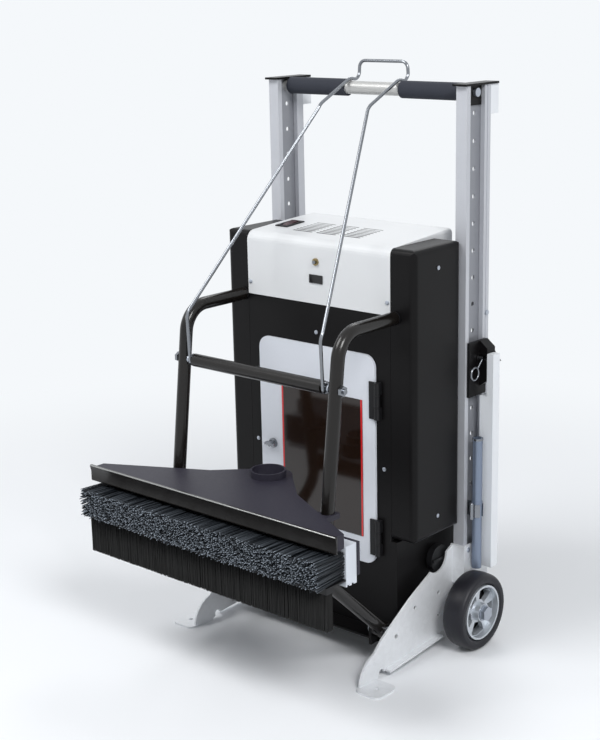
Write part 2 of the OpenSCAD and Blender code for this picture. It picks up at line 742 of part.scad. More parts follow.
// Door on two lift-off hinges at its right edge
hinge_x = door_x + door_w / 2 + hinge_r + gap;
hinge_y = -hinge_r - gap;
hinge_low = 21;
hinge_high = 49;
hinge_zs = [door_z + hinge_low, door_z + door_h - hinge_high - hinge_h];
knuckle = hinge_h / 3;
leaf_w = 12;
leaf_t = 3;
module hinge_frame() color(black) machine() for (z = hinge_zs) {
    difference() {
        for (k = [0, 2 * knuckle]) union() {
            rod_z(hinge_x, hinge_y, z + k, hinge_r, knuckle - move_gap);
            block(hinge_x, hinge_x + leaf_w / 2, hinge_y, 0, z + k, z + k + knuckle - move_gap);
        }
        rod_z(hinge_x, hinge_y, z - over, hinge_pin_r, hinge_h + 2 * over);
    }
    rod_z(hinge_x, hinge_y, z, hinge_pin_r, hinge_h - move_gap);
}
module hinge_leaves() color(black) machine() for (z = hinge_zs) difference() {
    union() {
        rod_z(hinge_x, hinge_y, z + knuckle + move_gap, hinge_r, knuckle - 3 * move_gap);
        block(hinge_x - hinge_r - leaf_w, hinge_x, -door_t - gap - leaf_t, -door_t - gap,
            z + knuckle + move_gap, z + 2 * knuckle - 2 * move_gap);
        block(hinge_x - hinge_r - leaf_w, hinge_x - hinge_r - gap, -door_t - gap - leaf_t, -door_t - gap,
            z, z + hinge_h);
    }
    rod_z(hinge_x, hinge_y, z, hinge_pin_r + run_gap, hinge_h);
}
module door() color([0.78, 0.8, 0.83]) machine() difference() {
    along_y(-door_t - gap, door_t)
        polygon(round_rect([door_x - door_w / 2, door_z], door_w, door_h, door_r));
    rod_y(latch_x, -2 * door_t, latch_z, latch_r + run_gap, 2 * door_t);
}
module door_label() color("black") machine() along_y(-door_t - gap - over, over)
    polygon(round_rect([door_x - door_w / 2 + label_left, door_z + label_low], label_w, label_h, over));
latch_r = 5;
wing_w = 26;
wing_t = 5;
wing_out = 14;
tongue_len = 34;
module latch() color(chrome) machine() {
    rod_y(latch_x, -door_t - gap - wing_out, latch_z, latch_r, wing_out + door_t + panel_t + 2 * gap);
    rod_y(latch_x, -door_t - gap - 2 * sheet, latch_z, 2 * latch_r, 2 * sheet - move_gap);
    block(latch_x - wing_w / 2, latch_x + wing_w / 2, -door_t - gap - wing_out, -door_t - gap - 2 * sheet,
        latch_z - wing_t / 2, latch_z + wing_t / 2);
    block(latch_x - latch_r, latch_x + latch_r, panel_t + gap, panel_t + gap + sheet,
        latch_z - tongue_len, latch_z + latch_r);
}

// Head: two bent arms on pivot bolts, a crossbar on a through rod, the hood and its brushes
module pivot_bolts() color(chrome) machine() both_sides() {
    rod_x(arm_x - arm_r - over - lug_t, -pivot_y, pivot_z, pivot_r, 2 * arm_r + 2 * over + lug_t);
    rod_x(arm_x + arm_r + over, -pivot_y, pivot_z, 2 * pivot_r, bolt_r);
    rod_x(arm_x - arm_r - over - lug_t - bolt_r, -pivot_y, pivot_z, 2 * pivot_r, bolt_r);
}
arm_end = 4;
eye_r = 16;
eye_out = 9;
arm_path = [[-arm_end, arm_top_z], [-arm_bend_y, arm_top_z], [-knee_y, knee_z],
    [-pivot_y - eye_r / 2, pivot_z + eye_r / 2]];
module arm() color(black) machine() difference() {
    union() {
        translate([arm_x, 0, 0]) rotate([90, 0, 90]) bent_tube(arm_path, arm_bend_r, arm_r, arm_wall);
        rod_x(arm_x - arm_r - gap, -pivot_y, pivot_z, eye_r, 2 * arm_r + 2 * gap);
    }
    rod_x(arm_x - 2 * arm_r, -pivot_y, pivot_z, pivot_r + run_gap, 4 * arm_r);
    rod_x(arm_x - 2 * arm_r, -cross_y, cross_z, bolt_r + run_gap, 4 * arm_r);
}
module arm_right() arm();
module arm_left() mirror([1, 0, 0]) arm();
module arm_caps() color("black") machine() both_sides() {
    rod_y(arm_x, -arm_end, arm_top_z, arm_r, arm_end - over);
    rod_y(arm_x, -arm_end - eye_r, arm_top_z, arm_r - arm_wall - run_gap, eye_r);
}
cross_half = eye_x - eye_out;
module crossbar() color(black) machine() difference() {
    rod_x(-cross_half, -cross_y, cross_z, arm_r, 2 * cross_half);
    rod_x(-cross_half - over, -cross_y, cross_z, bolt_r + run_gap, 2 * cross_half + 2 * over);
    rod_x(eye_r - cross_half, -cross_y, cross_z, arm_r - arm_wall, 2 * cross_half - 2 * eye_r);
}
module cross_rod() color(chrome) machine() {
    rod_x(-arm_x - arm_r - 2 * bolt_r, -cross_y, cross_z, bolt_r, 2 * (arm_x + arm_r + 2 * bolt_r));
    both_sides() translate([arm_x + arm_r + move_gap, -cross_y, cross_z]) rotate([0, 90, 0])
        cylinder(r = 2 * bolt_r, h = bolt_r + over, $fn = 6);
}

// Hood: a flat funnel from the lip to the round suction port, open below, clamped on the arms
hood_t = 3;
hood_h = 26;
hood_end = 24;
shoulder_x = 110;
shoulder_y = 196;
neck_r = 42;
lip_t = 6;
lip_h = 32;
lip_in = 9;
clamp_h = 10;
clamp_w = 32;
clamp_front = 38;
clamp_y = knee_y - (hood_z - hood_h - knee_z) * tan(arm_lean);
seal_in = 90;
seal_half = hood_w / 2 - lip_t - seal_in;
slot_half = 180;
slot_h = 16;
function hood_plan(i) = concat(
    [[hood_w / 2 - lip_t - i, i - lip_y], [hood_w / 2 - lip_t - i, hood_end - i - lip_y],
    [shoulder_x - i, -shoulder_y - i]], arc([0, -port_y], neck_r - i, 30, 150),
    [[i - shoulder_x, -shoulder_y - i], [i + lip_t - hood_w / 2, hood_end - i - lip_y],
    [i + lip_t - hood_w / 2, i - lip_y]]);
module hood() color(slate) machine() difference() {
    union() {
        difference() {
            translate([0, lip_t, hood_z - hood_h]) linear_extrude(hood_h) polygon(hood_plan(0));
            translate([0, lip_t, hood_z - hood_h - over]) linear_extrude(hood_h - hood_t + over)
                polygon(hood_plan(hood_t));
        }
        rod_z(0, -port_y, hood_z - hood_h, port_r, port_z - hood_z + hood_h);
        both_sides() block(arm_x - clamp_w / 2, arm_x + clamp_w / 2, -clamp_y - clamp_front,
            clamp_w / 2 - clamp_y, hood_z - hood_h, hood_z - hood_h + clamp_h);
        block(lip_t - hood_w / 2, hood_w / 2 - lip_t, -block_y + block_d, -block_y + block_d + lug_t,
            riser_z - tuft, hood_z - hood_h + over);
        block(-seal_half, seal_half, -block_y + block_d, -block_y + block_d + lug_t,
            riser_z, hood_z - over);
    }
    rod_z(0, -port_y, hood_z - hood_h - over, port_r - hood_t, port_z - hood_z + hood_h + 2 * over);
    both_sides() translate([arm_x, -knee_y, knee_z]) rotate([-arm_lean, 0, 0])
        cylinder(r = arm_r + run_gap, h = cross_z - knee_z);
    block(-slot_half, slot_half, -block_y, -shoulder_y - rail_w,
        hood_z - hood_t - over - slot_h, hood_z - hood_t - over);
}
module lip() color(black) machine() along_x(-hood_w / 2, hood_w)
    polygon([[-lip_y, lip_z], [lip_in - lip_t - lip_y, lip_z - lip_h], [lip_t - lip_y, lip_z - lip_h],
        [lip_t - lip_y, lip_z]]);

// Riser brush: a white block with tufts that point forward
block_drop = 17;
block_low = riser_z - block_drop;
groove = 6;
module brush_block() color(white) machine() difference() {
    block(-brush_w / 2, brush_w / 2, -block_y + tuft, -block_y + block_d, block_low, hood_z - hood_h);
    for (k = [1, 3]) block(-brush_w / 2 - over, brush_w / 2 + over,
        -block_y + k * groove, -block_y + (k + 1) * groove, block_low - over, block_low + tuft);
}
module riser_bristles() color(slate) machine() {
    block(-brush_w / 2, brush_w / 2, -block_y, -block_y + tuft, riser_z, riser_z + riser_h);
    row_h = riser_h / riser_rows;
    step = brush_w / riser_n;
    translate([0, -block_y + over, 0]) rotate([90, 0, 0]) linear_extrude(reach - block_y + over)
        for (r = [0:riser_rows - 1]) for (i = [0:riser_n - 1])
            translate([(i + (r % 2 == 0 ? 1 : 3) / 4) * step - brush_w / 2, riser_z + (r + 1 / 2) * row_h])
            square(tuft, center = true);
}
// Tread brush: a dense skirt of tufts that hang from a folded holder
holder_t = 3;
module skirt_holder() color(black) machine() along_x(-brush_w / 2, brush_w)
    polygon([[-skirt_y, riser_z - tuft], [tuft - block_y, riser_z - tuft],
        [tuft - block_y, riser_z - tuft - holder_t], [skirt_d - skirt_y, riser_z - tuft - holder_t],
        [skirt_d - skirt_y, skirt_root_z + tuft],
        [-skirt_y, skirt_root_z + tuft]]);
module skirt_bristles() color("black") machine() {
    step = brush_w / skirt_n;
    row_d = skirt_d / skirt_rows;
    block(-brush_w / 2, brush_w / 2, -skirt_y, skirt_d - skirt_y, skirt_root_z - tuft, skirt_root_z + tuft);
    translate([0, 0, skirt_z]) linear_extrude(skirt_root_z - skirt_z)
        for (r = [0:skirt_rows - 1]) for (i = [0:skirt_n - 1])
            translate([(i + (r % 2 == 0 ? 1 : 3) / 4) * step - brush_w / 2, (r + 1 / 2) * row_d - skirt_y])
            square(tuft, center = true);
}

// Bail: two leg wires and a wire with a finger loop, which meet in hooks over the bar
eye_top = [-cross_y, cross_z + eye_out];
bend = [-cross_y - bail_bend_y, cross_z + bail_bend_h];
neck = [bar_y - hook_bend_y, bar_z - hook_bend_h];
hook_r = bar_r + wire_r + hook_gap;
to_bar = [bar_y, bar_z] - neck;
lean = atan2(to_bar.y, to_bar.x) + asin(hook_r / norm(to_bar));
hook_seam = 100;
seam_turn = move_gap / hook_r * 180 / PI;
hook_out = 80;
loop_r = 14;
tail = [bar_y, bar_z] + hook_r * [cos(hook_out), sin(hook_out)]
    + (loop_y - loop_r - hook_r * cos(hook_out)) * [1, -1 / tan(hook_out)];
function on_bail(q, x) = [x, q.x, q.y];
function flip_x(p) = [-p.x, p.y, p.z];
bend_r = 30;
bail_leg = concat(
    [on_bail(eye_top, eye_x)],
    [for (p = corner(eye_top, bend, neck, bend_r)) on_bail(p, bail_bend_x)],
    [for (p = corner(bend, neck, neck + [cos(lean), sin(lean)], bend_r)) on_bail(p, hook_x)],
    [for (p = arc([bar_y, bar_z], hook_r, 90 + lean, hook_seam + seam_turn)) on_bail(p, hook_x)]);
bail_loop = concat(
    [for (p = arc([bar_y, bar_z], hook_r, hook_seam, hook_out)) on_bail(p, hook_x)],
    [for (p = arc(tail + [0, loop_r], loop_r, -90, 0)) on_bail(p, hook_x)],
    [for (p = arc([loop_x, loop_z - loop_r], loop_r, 0, 90)) [p.x, bar_y + loop_y, p.y]]);
wire_n = 12;
module bail() color(chrome) machine() {
    difference() {
        union() {
            wire(bail_leg, wire_r, wire_n);
            wire([for (p = bail_leg) flip_x(p)], wire_r, wire_n);
            both_sides() rod_x(eye_x - wire_r - gap, -cross_y, cross_z, eye_out + over, 2 * wire_r + 2 * gap);
        }
        rod_x(-2 * eye_x, -cross_y, cross_z, bolt_r + run_gap, 4 * eye_x);
    }
    wire(concat(bail_loop, [for (i = [len(bail_loop) - 1:-1:0]) flip_x(bail_loop[i])]), wire_r, wire_n);
}

// Rear leg: a channel that hangs from a bracket sliding on the upright
leg_pivot_y = leg_y + leg_d / 2;
face_x = upright_x + upright_w + move_gap;
ear_w = 14;
leg_wall = 4;
tongue_x = leg_x + leg_w - ear_w - move_gap;
bracket_front = 6;
bracket_t = 5;
boss_len = 6;
plunge = 5;
knob_len = 4;
pull_x = face_x + boss_len + plunge + knob_len / 2 + gap;
ear_clear = 58;
guard_t = 3;
guard_gap = 1.5;
guard_up = 10;
guard_z = leg_pivot_z + guard_up;
ear_pin = 8;
module slide_bracket() color(black) machine() difference() {
    union() {
        along_x(face_x, bracket_t) polygon([[side_d + bracket_front, bracket_z], [leg_y + leg_d, bracket_z],
            [leg_y + leg_d, bracket_z + bracket_h], [side_d + bracket_front, bracket_z + bracket_h]]);
        along_y(leg_y + over, leg_d) polygon([[face_x, bracket_z + rail_w],
            [tongue_x, bracket_z + rail_w + leg_w / 2], [tongue_x, bracket_z + bracket_h - rail_w],
            [face_x + bracket_t, bracket_z + bracket_h], [face_x, bracket_z + bracket_h]]);
        along_y(leg_y + leg_d - guard_t, 2 * guard_t + guard_gap) polygon([[face_x + bracket_t, guard_z],
            [tongue_x, guard_z], [tongue_x, bracket_z + bracket_h - rail_w],
            [face_x + bracket_t, bracket_z + bracket_h]]);
        along_y(leg_y + leg_d + guard_gap, guard_t) polygon([[face_x + bracket_t, guard_z],
            [leg_x + leg_w, guard_z], [face_x + bracket_t, bracket_z + bracket_h]]);
        rod_x(face_x, side_d + hole_y, plunger_z, 2 * plunger_r + over, boss_len);
        rod_x(tongue_x - over, leg_pivot_y, leg_pivot_z, pivot_r, ear_pin + over);
    }
    rod_x(face_x - over, side_d + hole_y, plunger_z, plunger_r + run_gap, boss_len + 2 * over);
    rod_x(face_x + boss_len, side_d + hole_y, plunger_z, plunger_r + over, leg_w);
}
module slide_bracket_right() slide_bracket();
module slide_bracket_left() mirror([1, 0, 0]) slide_bracket();

plunger_z = hole_top - round((hole_top - bracket_z - bracket_h / 2) / hole_pitch) * hole_pitch;
pull_r = 12;
pull_wire = 1.8;
pull_drop = 25;
pull_tilt = 45;
module plunger() color(chrome) machine() {
    rod_x(web_out + gap, side_d + hole_y, plunger_z, plunger_r, pull_x + knob_len / 2 - web_out - gap);
    translate([pull_x, side_d + hole_y, plunger_z]) rotate([-pull_tilt, 0, 0]) {
        rod_z(0, 0, -pull_drop, pull_wire, pull_drop);
        translate([0, 0, -pull_drop - pull_r + over]) rotate([0, 90, 0])
            rotate_extrude() translate([pull_r, 0]) circle(r = pull_wire);
    }
}
module plunger_right() plunger();
module plunger_left() mirror([1, 0, 0]) plunger();

module leg() color(white) machine() difference() {
    union() {
        translate([0, 0, leg_z]) linear_extrude(leg_top - leg_z) difference() {
            translate([leg_x, leg_y]) square([leg_w, leg_d]);
            translate([leg_x + leg_wall, leg_y + leg_wall]) square([leg_w - 2 * leg_wall, leg_d]);
        }
        block(leg_x + leg_w - ear_w, leg_x + leg_w, leg_y, leg_y + leg_d,
            leg_pivot_z - ear_clear - rail_w, leg_top);
    }
    rod_x(leg_x - over, leg_pivot_y, leg_pivot_z, ear_clear, leg_w - ear_w + over);
    block(leg_x - over, leg_x + leg_w - ear_w, leg_y - over, leg_y + leg_d + over,
        leg_pivot_z, leg_top + over);
    rod_x(leg_x, leg_pivot_y, leg_pivot_z, pivot_r + run_gap, leg_w - ear_w + ear_pin + over);
}
module leg_right() leg();
module leg_left() mirror([1, 0, 0]) leg();

// Hand wand in a spring clip on the right upright
wand_out = 16;
wand_in = 21;
wand_x = upright_x + upright_w + wand_out;
wand_y = side_d + wand_in;
wand_r = 9.5;
wand_z = 152;
wand_len = 264;
clip_up = 106;
clip_z = wand_z + clip_up;
clip_h = 26;
module wand() color(steel) machine() difference() {
    union() {
        rod_z(wand_x, wand_y, wand_z, wand_r, wand_len);
        rod_z(wand_x, wand_y, wand_z + wand_len - bolt_r, wand_r + over, bolt_r);
        rod_z(wand_x, wand_y, clip_z + clip_h, wand_r + over, bolt_r);
    }
    rod_z(wand_x, wand_y, wand_z - over, wand_r - sheet, wand_len + 2 * over);
}
module wand_clip() color(chrome) machine() difference() {
    union() {
        rod_z(wand_x, wand_y, clip_z, wand_r + sheet + move_gap, clip_h);
        block(web_out, wand_x, wand_y - wand_r / 2, wand_y + wand_r / 2,
            clip_z, clip_z + clip_h);
    }
    rod_z(wand_x, wand_y, clip_z - over, wand_r + move_gap, clip_h + 2 * over);
    block(wand_x, wand_x + 3 * wand_r, wand_y - wand_r / 2, wand_y + wand_r / 2,
        clip_z - over, clip_z + clip_h + over);
}

cabinet();
front_panel();
base_plate();
top_cover();
side_cover_left();
side_cover_right();
cross_rails();
upright_left();
upright_right();
end_plates();
rest_blocks();
handle_bar();
grip_left();
grip_right();
foot_left();
foot_right();
axle();
axle_nuts();
tyre_left();
tyre_right();
hub_left();
hub_right();
vacuum_motor();
fan_housing();
filter_bag();
inlet_collar();
port_cap();
switch_bezel();
rocker();
breaker_ring();
breaker_button();
hour_meter();
cover_screws();
frame_bolts();
hinge_frame();
door();
door_label();
hinge_leaves();
latch();
pivot_bolts();
arm_left();
arm_right();
arm_caps();
crossbar();
cross_rod();
hood();
lip();
brush_block();
riser_bristles();
skirt_holder();
skirt_bristles();
bail();
slide_bracket_left();
slide_bracket_right();
plunger_left();
plunger_right();
leg_left();
leg_right();
wand();
wand_clip();
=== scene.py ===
"""Looks of an escalator cleaning machine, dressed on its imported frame. Metres, +Z up, front at -Y."""
import math

import bpy
import numpy as np
from mathutils import Matrix, Vector


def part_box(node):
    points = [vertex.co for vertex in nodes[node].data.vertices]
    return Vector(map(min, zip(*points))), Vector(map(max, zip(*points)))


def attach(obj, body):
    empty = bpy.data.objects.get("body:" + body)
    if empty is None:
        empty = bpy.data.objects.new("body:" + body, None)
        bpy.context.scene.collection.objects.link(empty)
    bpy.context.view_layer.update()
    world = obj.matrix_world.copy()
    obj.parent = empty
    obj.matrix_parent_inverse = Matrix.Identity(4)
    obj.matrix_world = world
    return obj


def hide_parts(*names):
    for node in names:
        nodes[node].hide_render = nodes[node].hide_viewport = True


MM = 0.001
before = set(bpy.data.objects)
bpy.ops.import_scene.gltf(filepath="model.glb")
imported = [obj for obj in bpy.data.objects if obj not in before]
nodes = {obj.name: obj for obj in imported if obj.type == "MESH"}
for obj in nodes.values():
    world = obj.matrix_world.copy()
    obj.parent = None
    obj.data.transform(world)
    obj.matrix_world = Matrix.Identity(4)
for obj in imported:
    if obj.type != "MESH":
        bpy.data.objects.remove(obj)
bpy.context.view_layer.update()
scene = bpy.context.scene

# Camera, solved on the photograph's straight edges: where it stands, where it looks, and its focal length
CAMERA_PLACE = Vector((1.7783, -1.9861, 1.2632))
CAMERA_YAW = math.radians(41.76)
CAMERA_DOWN = math.radians(14.86)
CAMERA_ROLL = math.radians(-1.25)
FOCAL_PX = 1463.28
PHOTO_LONG_SIDE = 740
SENSOR_MM = 36.0


def make_camera():
    """Right, up and back axes from yaw, downward pitch and roll, in that order."""
    ahead = Vector((-math.sin(CAMERA_YAW) * math.cos(CAMERA_DOWN), math.cos(CAMERA_YAW) * math.cos(CAMERA_DOWN),
                    -math.sin(CAMERA_DOWN)))
    level = Vector((math.cos(CAMERA_YAW), math.sin(CAMERA_YAW), 0.0))
    upright = level.cross(ahead)
    right = level * math.cos(CAMERA_ROLL) + upright * math.sin(CAMERA_ROLL)
    up = upright * math.cos(CAMERA_ROLL) - level * math.sin(CAMERA_ROLL)
    data = bpy.data.cameras.new("camera")
    data.sensor_width = SENSOR_MM
    data.lens = FOCAL_PX / PHOTO_LONG_SIDE * SENSOR_MM
    camera = bpy.data.objects.new("camera", data)
    turn = Matrix((right, up, -ahead)).transposed()
    camera.matrix_world = Matrix.Translation(CAMERA_PLACE) @ turn.to_4x4()
    scene.collection.objects.link(camera)
    scene.camera = camera


make_camera()


# Materials

# A colour Mix node's two colours and its result go by number, because their names repeat for each kind of data
MIX_A, MIX_B, MIX_RESULT = 6, 7, 2
COAT_ROUGHNESS = 0.08
GRAIN_DEPTH = 0.2 * MM
LEAST_COLOUR = 0.25  # share of the full colour that is left in the deepest hollow of a grain


def linear(hex_colour):
    """sRGB hex to linear RGBA."""
    parts = np.array([int(hex_colour[i:i + 2], 16) / 255 for i in (1, 3, 5)])
    parts = np.where(parts <= 0.04045, parts / 12.92, ((parts + 0.055) / 1.055) ** 2.4)
    return (*map(float, parts), 1.0)


def add(tree, kind, inputs=(), **values):
    """Adds a node. values set its properties or, where the name isn't one, its inputs.

    inputs are (input, source) pairs, by name or by number; a source is a socket to link or a value to set.
    """
    node = tree.nodes.new(kind)
    for key, value in values.items():
        if hasattr(node, key):
            setattr(node, key, value)
        else:
            node.inputs[key.replace("_", " ")].default_value = value
    for key, source in inputs:
        if isinstance(source, bpy.types.NodeSocket):
            tree.links.new(node.inputs[key], source)
        else:
            node.inputs[key].default_value = source
    return node


def new_material(name):
    """A material with its node tree and its shader."""
    material = bpy.data.materials.new(name)
    material.use_nodes = True
    tree = material.node_tree
    return material, tree, tree.nodes["Principled BSDF"]


def finish(name, colour, rough, metallic=0.0, grain_mm=2.0, tint=0.1, spread=0.06, bump=0.1, stretch=(1, 1, 1),
           coat=0.0, specular=0.5, spangle_mm=0.0, patch_mm=110.0):
    """A surface whose colour, roughness and height follow one noise of a real grain size.

    tint is how far the colour darkens in the hollows of the grain and in patches of patch_mm, spread how far the
    roughness varies, bump how strongly the grain stands up, and stretch draws the grain out along an axis, as rolling
    or brushing does. coat is the weight of a clear gloss on top, specular the shader's own level, and spangle_mm the
    size of crystal patches, where there are any.
    """
    material, tree, shader = new_material(name)
    shader.inputs["Metallic"].default_value = metallic
    shader.inputs["Coat Weight"].default_value = coat
    shader.inputs["Coat Roughness"].default_value = COAT_ROUGHNESS
    shader.inputs["Specular IOR Level"].default_value = specular
    place = add(tree, "ShaderNodeTexCoord").outputs["Object"]
    drawn = add(tree, "ShaderNodeMapping", [("Vector", place)], Scale=stretch)
    grain = add(tree, "ShaderNodeTexNoise", [("Vector", drawn.outputs["Vector"])],
                Scale=1.0 / (grain_mm * MM), Detail=3.0)
    wide = add(tree, "ShaderNodeTexNoise", [("Vector", place)], Scale=1.0 / (patch_mm * MM), Detail=2.0)
    both = add(tree, "ShaderNodeMath", [(0, grain.outputs["Fac"]), (1, wide.outputs["Fac"]), (2, LEAST_COLOUR)],
               operation="MULTIPLY_ADD")
    base = linear(colour)
    shade = tuple(c * (1 - tint) for c in base[:3]) + (1.0,)
    hue = add(tree, "ShaderNodeMix", [("Factor", both.outputs["Value"]), (MIX_A, shade), (MIX_B, base)],
              data_type="RGBA")
    if spangle_mm:
        crystal = add(tree, "ShaderNodeTexVoronoi", [("Vector", place)], Scale=1.0 / (spangle_mm * MM))
        hue = add(tree, "ShaderNodeMix", [("Factor", crystal.outputs["Color"]), (MIX_A, hue.outputs[MIX_RESULT]),
                                          (MIX_B, shade)], data_type="RGBA")
    tree.links.new(shader.inputs["Base Color"], hue.outputs[MIX_RESULT])
    level = add(tree, "ShaderNodeMapRange", [("Value", grain.outputs["Fac"])], To_Min=rough - spread,
                To_Max=rough + spread)
    tree.links.new(shader.inputs["Roughness"], level.outputs["Result"])
    if bump:
        raised = add(tree, "ShaderNodeBump", [("Height", grain.outputs["Fac"])], Strength=bump, Distance=GRAIN_DEPTH)
        tree.links.new(shader.inputs["Normal"], raised.outputs["Normal"])
    return material


# Powder coat on steel sheet: a fine orange peel, drawn twice its real size so that it breaks the highlight
powder_black = finish("powder_coat_black", "#100F10", 0.36, grain_mm=3, bump=0.25, tint=0.2, specular=0.14)
# White enamel on steel sheet: smooth, with a soft sheen
enamel_white = finish("enamel_white", "#DCDEE0", 0.35, grain_mm=4, bump=0.05, tint=0.03)
# Off-white paint on aluminium channel: nearly matt, so that its faces differ only by their shade
channel_white = finish("paint_offwhite", "#E8EBEF", 0.5, grain_mm=3, bump=0.08, tint=0.05)
# Light gray enamel on the door: smooth, cooler and duller than the cover
enamel_gray = finish("enamel_gray", "#D9DDE5", 0.4, grain_mm=4, bump=0.05, tint=0.05)
# Extruded aluminium, drawn along its length: pale, with fine die lines
extruded = finish("extruded_aluminium", "#C4C6CC", 0.36, metallic=0.25, grain_mm=2.5, stretch=(1, 1, 0.02), bump=0.1,
                  tint=0.12)
# Galvanised steel sheet: pale, with a crystal spangle
galvanised = finish("galvanised_steel", "#F0F2F5", 0.45, metallic=0.3, grain_mm=2, spangle_mm=9, tint=0.12, bump=0.05)
# Aluminium tube, brushed along its length: a broad, soft highlight
brushed_tube = finish("brushed_tube", "#BEBEBC", 0.35, metallic=0.5, grain_mm=2, stretch=(0.1, 1, 1), bump=0.05)
# Cast aluminium wheel centre: satin, with a sandy skin
cast_alu = finish("cast_aluminium", "#D2D7DD", 0.38, metallic=0.6, grain_mm=2.5, tint=0.15, bump=0.15)
# Blued steel tube: a gray-blue sheen, with a drawn grain along it
steel_tube = finish("drawn_steel_tube", "#8490A4", 0.36, metallic=0.6, grain_mm=2, stretch=(1, 1, 0.05), tint=0.2)
# Zinc-plated steel: bright gray, a little clouded
zinc = finish("zinc_plate", "#B9BFC9", 0.32, metallic=0.85, grain_mm=3, tint=0.2, bump=0.05)
# Bright chrome plate: mirrors the room, softened so that a thin wire doesn't sparkle
chrome = finish("chrome_plate", "#8D9095", 0.22, metallic=1.0, grain_mm=8, spread=0.02, bump=0.0, tint=0.15)
# Closed-cell foam sleeve: dull, with fine open pores
foam = finish("foam_rubber", "#33363F", 0.8, grain_mm=2.5, bump=0.5, tint=0.3, specular=0.3)
# Moulded tyre rubber: near black, with a dull bloom
rubber = finish("tyre_rubber", "#1B1B22", 0.45, grain_mm=3, bump=0.25, tint=0.25, specular=0.35)
# Moulded black nylon: satin, with a fine mould grain
nylon = finish("moulded_nylon", "#141416", 0.45, grain_mm=2.5, bump=0.2, specular=0.3)
# Dark red polycarbonate rocker: smooth and glossy
red_plastic = finish("red_polycarbonate", "#3A0A0C", 0.2, grain_mm=4, bump=0.03, coat=0.3)
# Turned brass: warm, with a soft ring of light
brass = finish("turned_brass", "#9C8A62", 0.34, metallic=0.9, grain_mm=2.0, bump=0.05)
# Gloss film over dark brown print: mirrors the room on a dark ground
gloss_film = finish("gloss_film", "#20150F", 0.08, grain_mm=12, spread=0.03, bump=0.02, coat=0.4, specular=0.3)
# Red print under the film: a full red with the film's gloss
red_print = finish("red_print", "#D5121A", 0.3, grain_mm=8, bump=0.0, coat=0.4)
# Black enamel on steel tube: brown-black, with a sharp highlight along the tube
tube_black = finish("enamel_black_tube", "#14110F", 0.24, grain_mm=4, bump=0.05, coat=0.2, specular=0.3)
# Slate paint on the pressed hood: blue-gray and nearly matt
slate = finish("slate_paint", "#2D2B36", 0.45, grain_mm=4, bump=0.15, tint=0.2, specular=0.25)
# Black rubber strip on the lip: smooth, with a soft highlight along it
strip_rubber = finish("rubber_strip_black", "#100D0B", 0.3, grain_mm=5, bump=0.0, specular=0.45)
# Painted highlight on the lip's top edge: a thin line of bright metal standing for light caught by the glossy edge,
# patchy along its length
lip_highlight_metal = finish("painted_lip_highlight", "#B4B4B2", 0.25, metallic=0.9, grain_mm=6, tint=0.3, patch_mm=60)
# White polypropylene brush block: matt and a little waxy
block_white = finish("polypropylene_white", "#D6DBE3", 0.45, grain_mm=3, bump=0.08, tint=0.05)
# Needled filter cloth: matt and fibrous, drawn coarser than its fibres so that it shows
cloth = finish("filter_cloth", "#B5A68B", 0.9, grain_mm=1.5, bump=0.4, tint=0.2)
# Near black in the cover's slots: painted shade where the slots' far walls would show, taking up nearly all light
slot_shade = finish("painted_slot_shade", "#0B0B0C", 0.95, grain_mm=2.5, bump=0.4, tint=0.3, specular=0.1)
# Smoked acrylic window of the meter: black and smooth as a mirror
smoked_acrylic = finish("smoked_acrylic", "#0D0A0B", 0.08, grain_mm=10, spread=0.02, bump=0.0)


def bristle(name, root, tip, rough, specular):
    """Nylon filament: colour runs from root to tip by the strand's own attribute, and each strand has its shade.

    The dark root is painted shade between strands, and the pale tip a painted highlight on the cut end.
    """
    material, tree, shader = new_material(name)
    shader.inputs["Roughness"].default_value = rough
    shader.inputs["Specular IOR Level"].default_value = specular
    along = add(tree, "ShaderNodeAttribute", attribute_name="along")
    own = add(tree, "ShaderNodeAttribute", attribute_name="shade")
    run = add(tree, "ShaderNodeMix", [("Factor", along.outputs["Fac"]), (MIX_A, linear(root)), (MIX_B, linear(tip))],
              data_type="RGBA")
    varied = add(tree, "ShaderNodeMix", [("Factor", own.outputs["Fac"]), (MIX_A, run.outputs[MIX_RESULT]),
                                         (MIX_B, linear(root))], data_type="RGBA")
    tree.links.new(shader.inputs["Base Color"], varied.outputs[MIX_RESULT])
    return material


# Gray nylon bristles: pale tips, a painted highlight on the cut ends, over dark roots and sides, painted shade between
# the strands
riser_nylon = bristle("riser_nylon", "#13171C", "#ACB6C2", 0.45, 0.3)
# Black nylon bristles: dull, and nearly one tone, a little darker at the roots as painted shade
skirt_nylon = bristle("skirt_nylon", "#272727", "#313130", 0.75, 0.1)

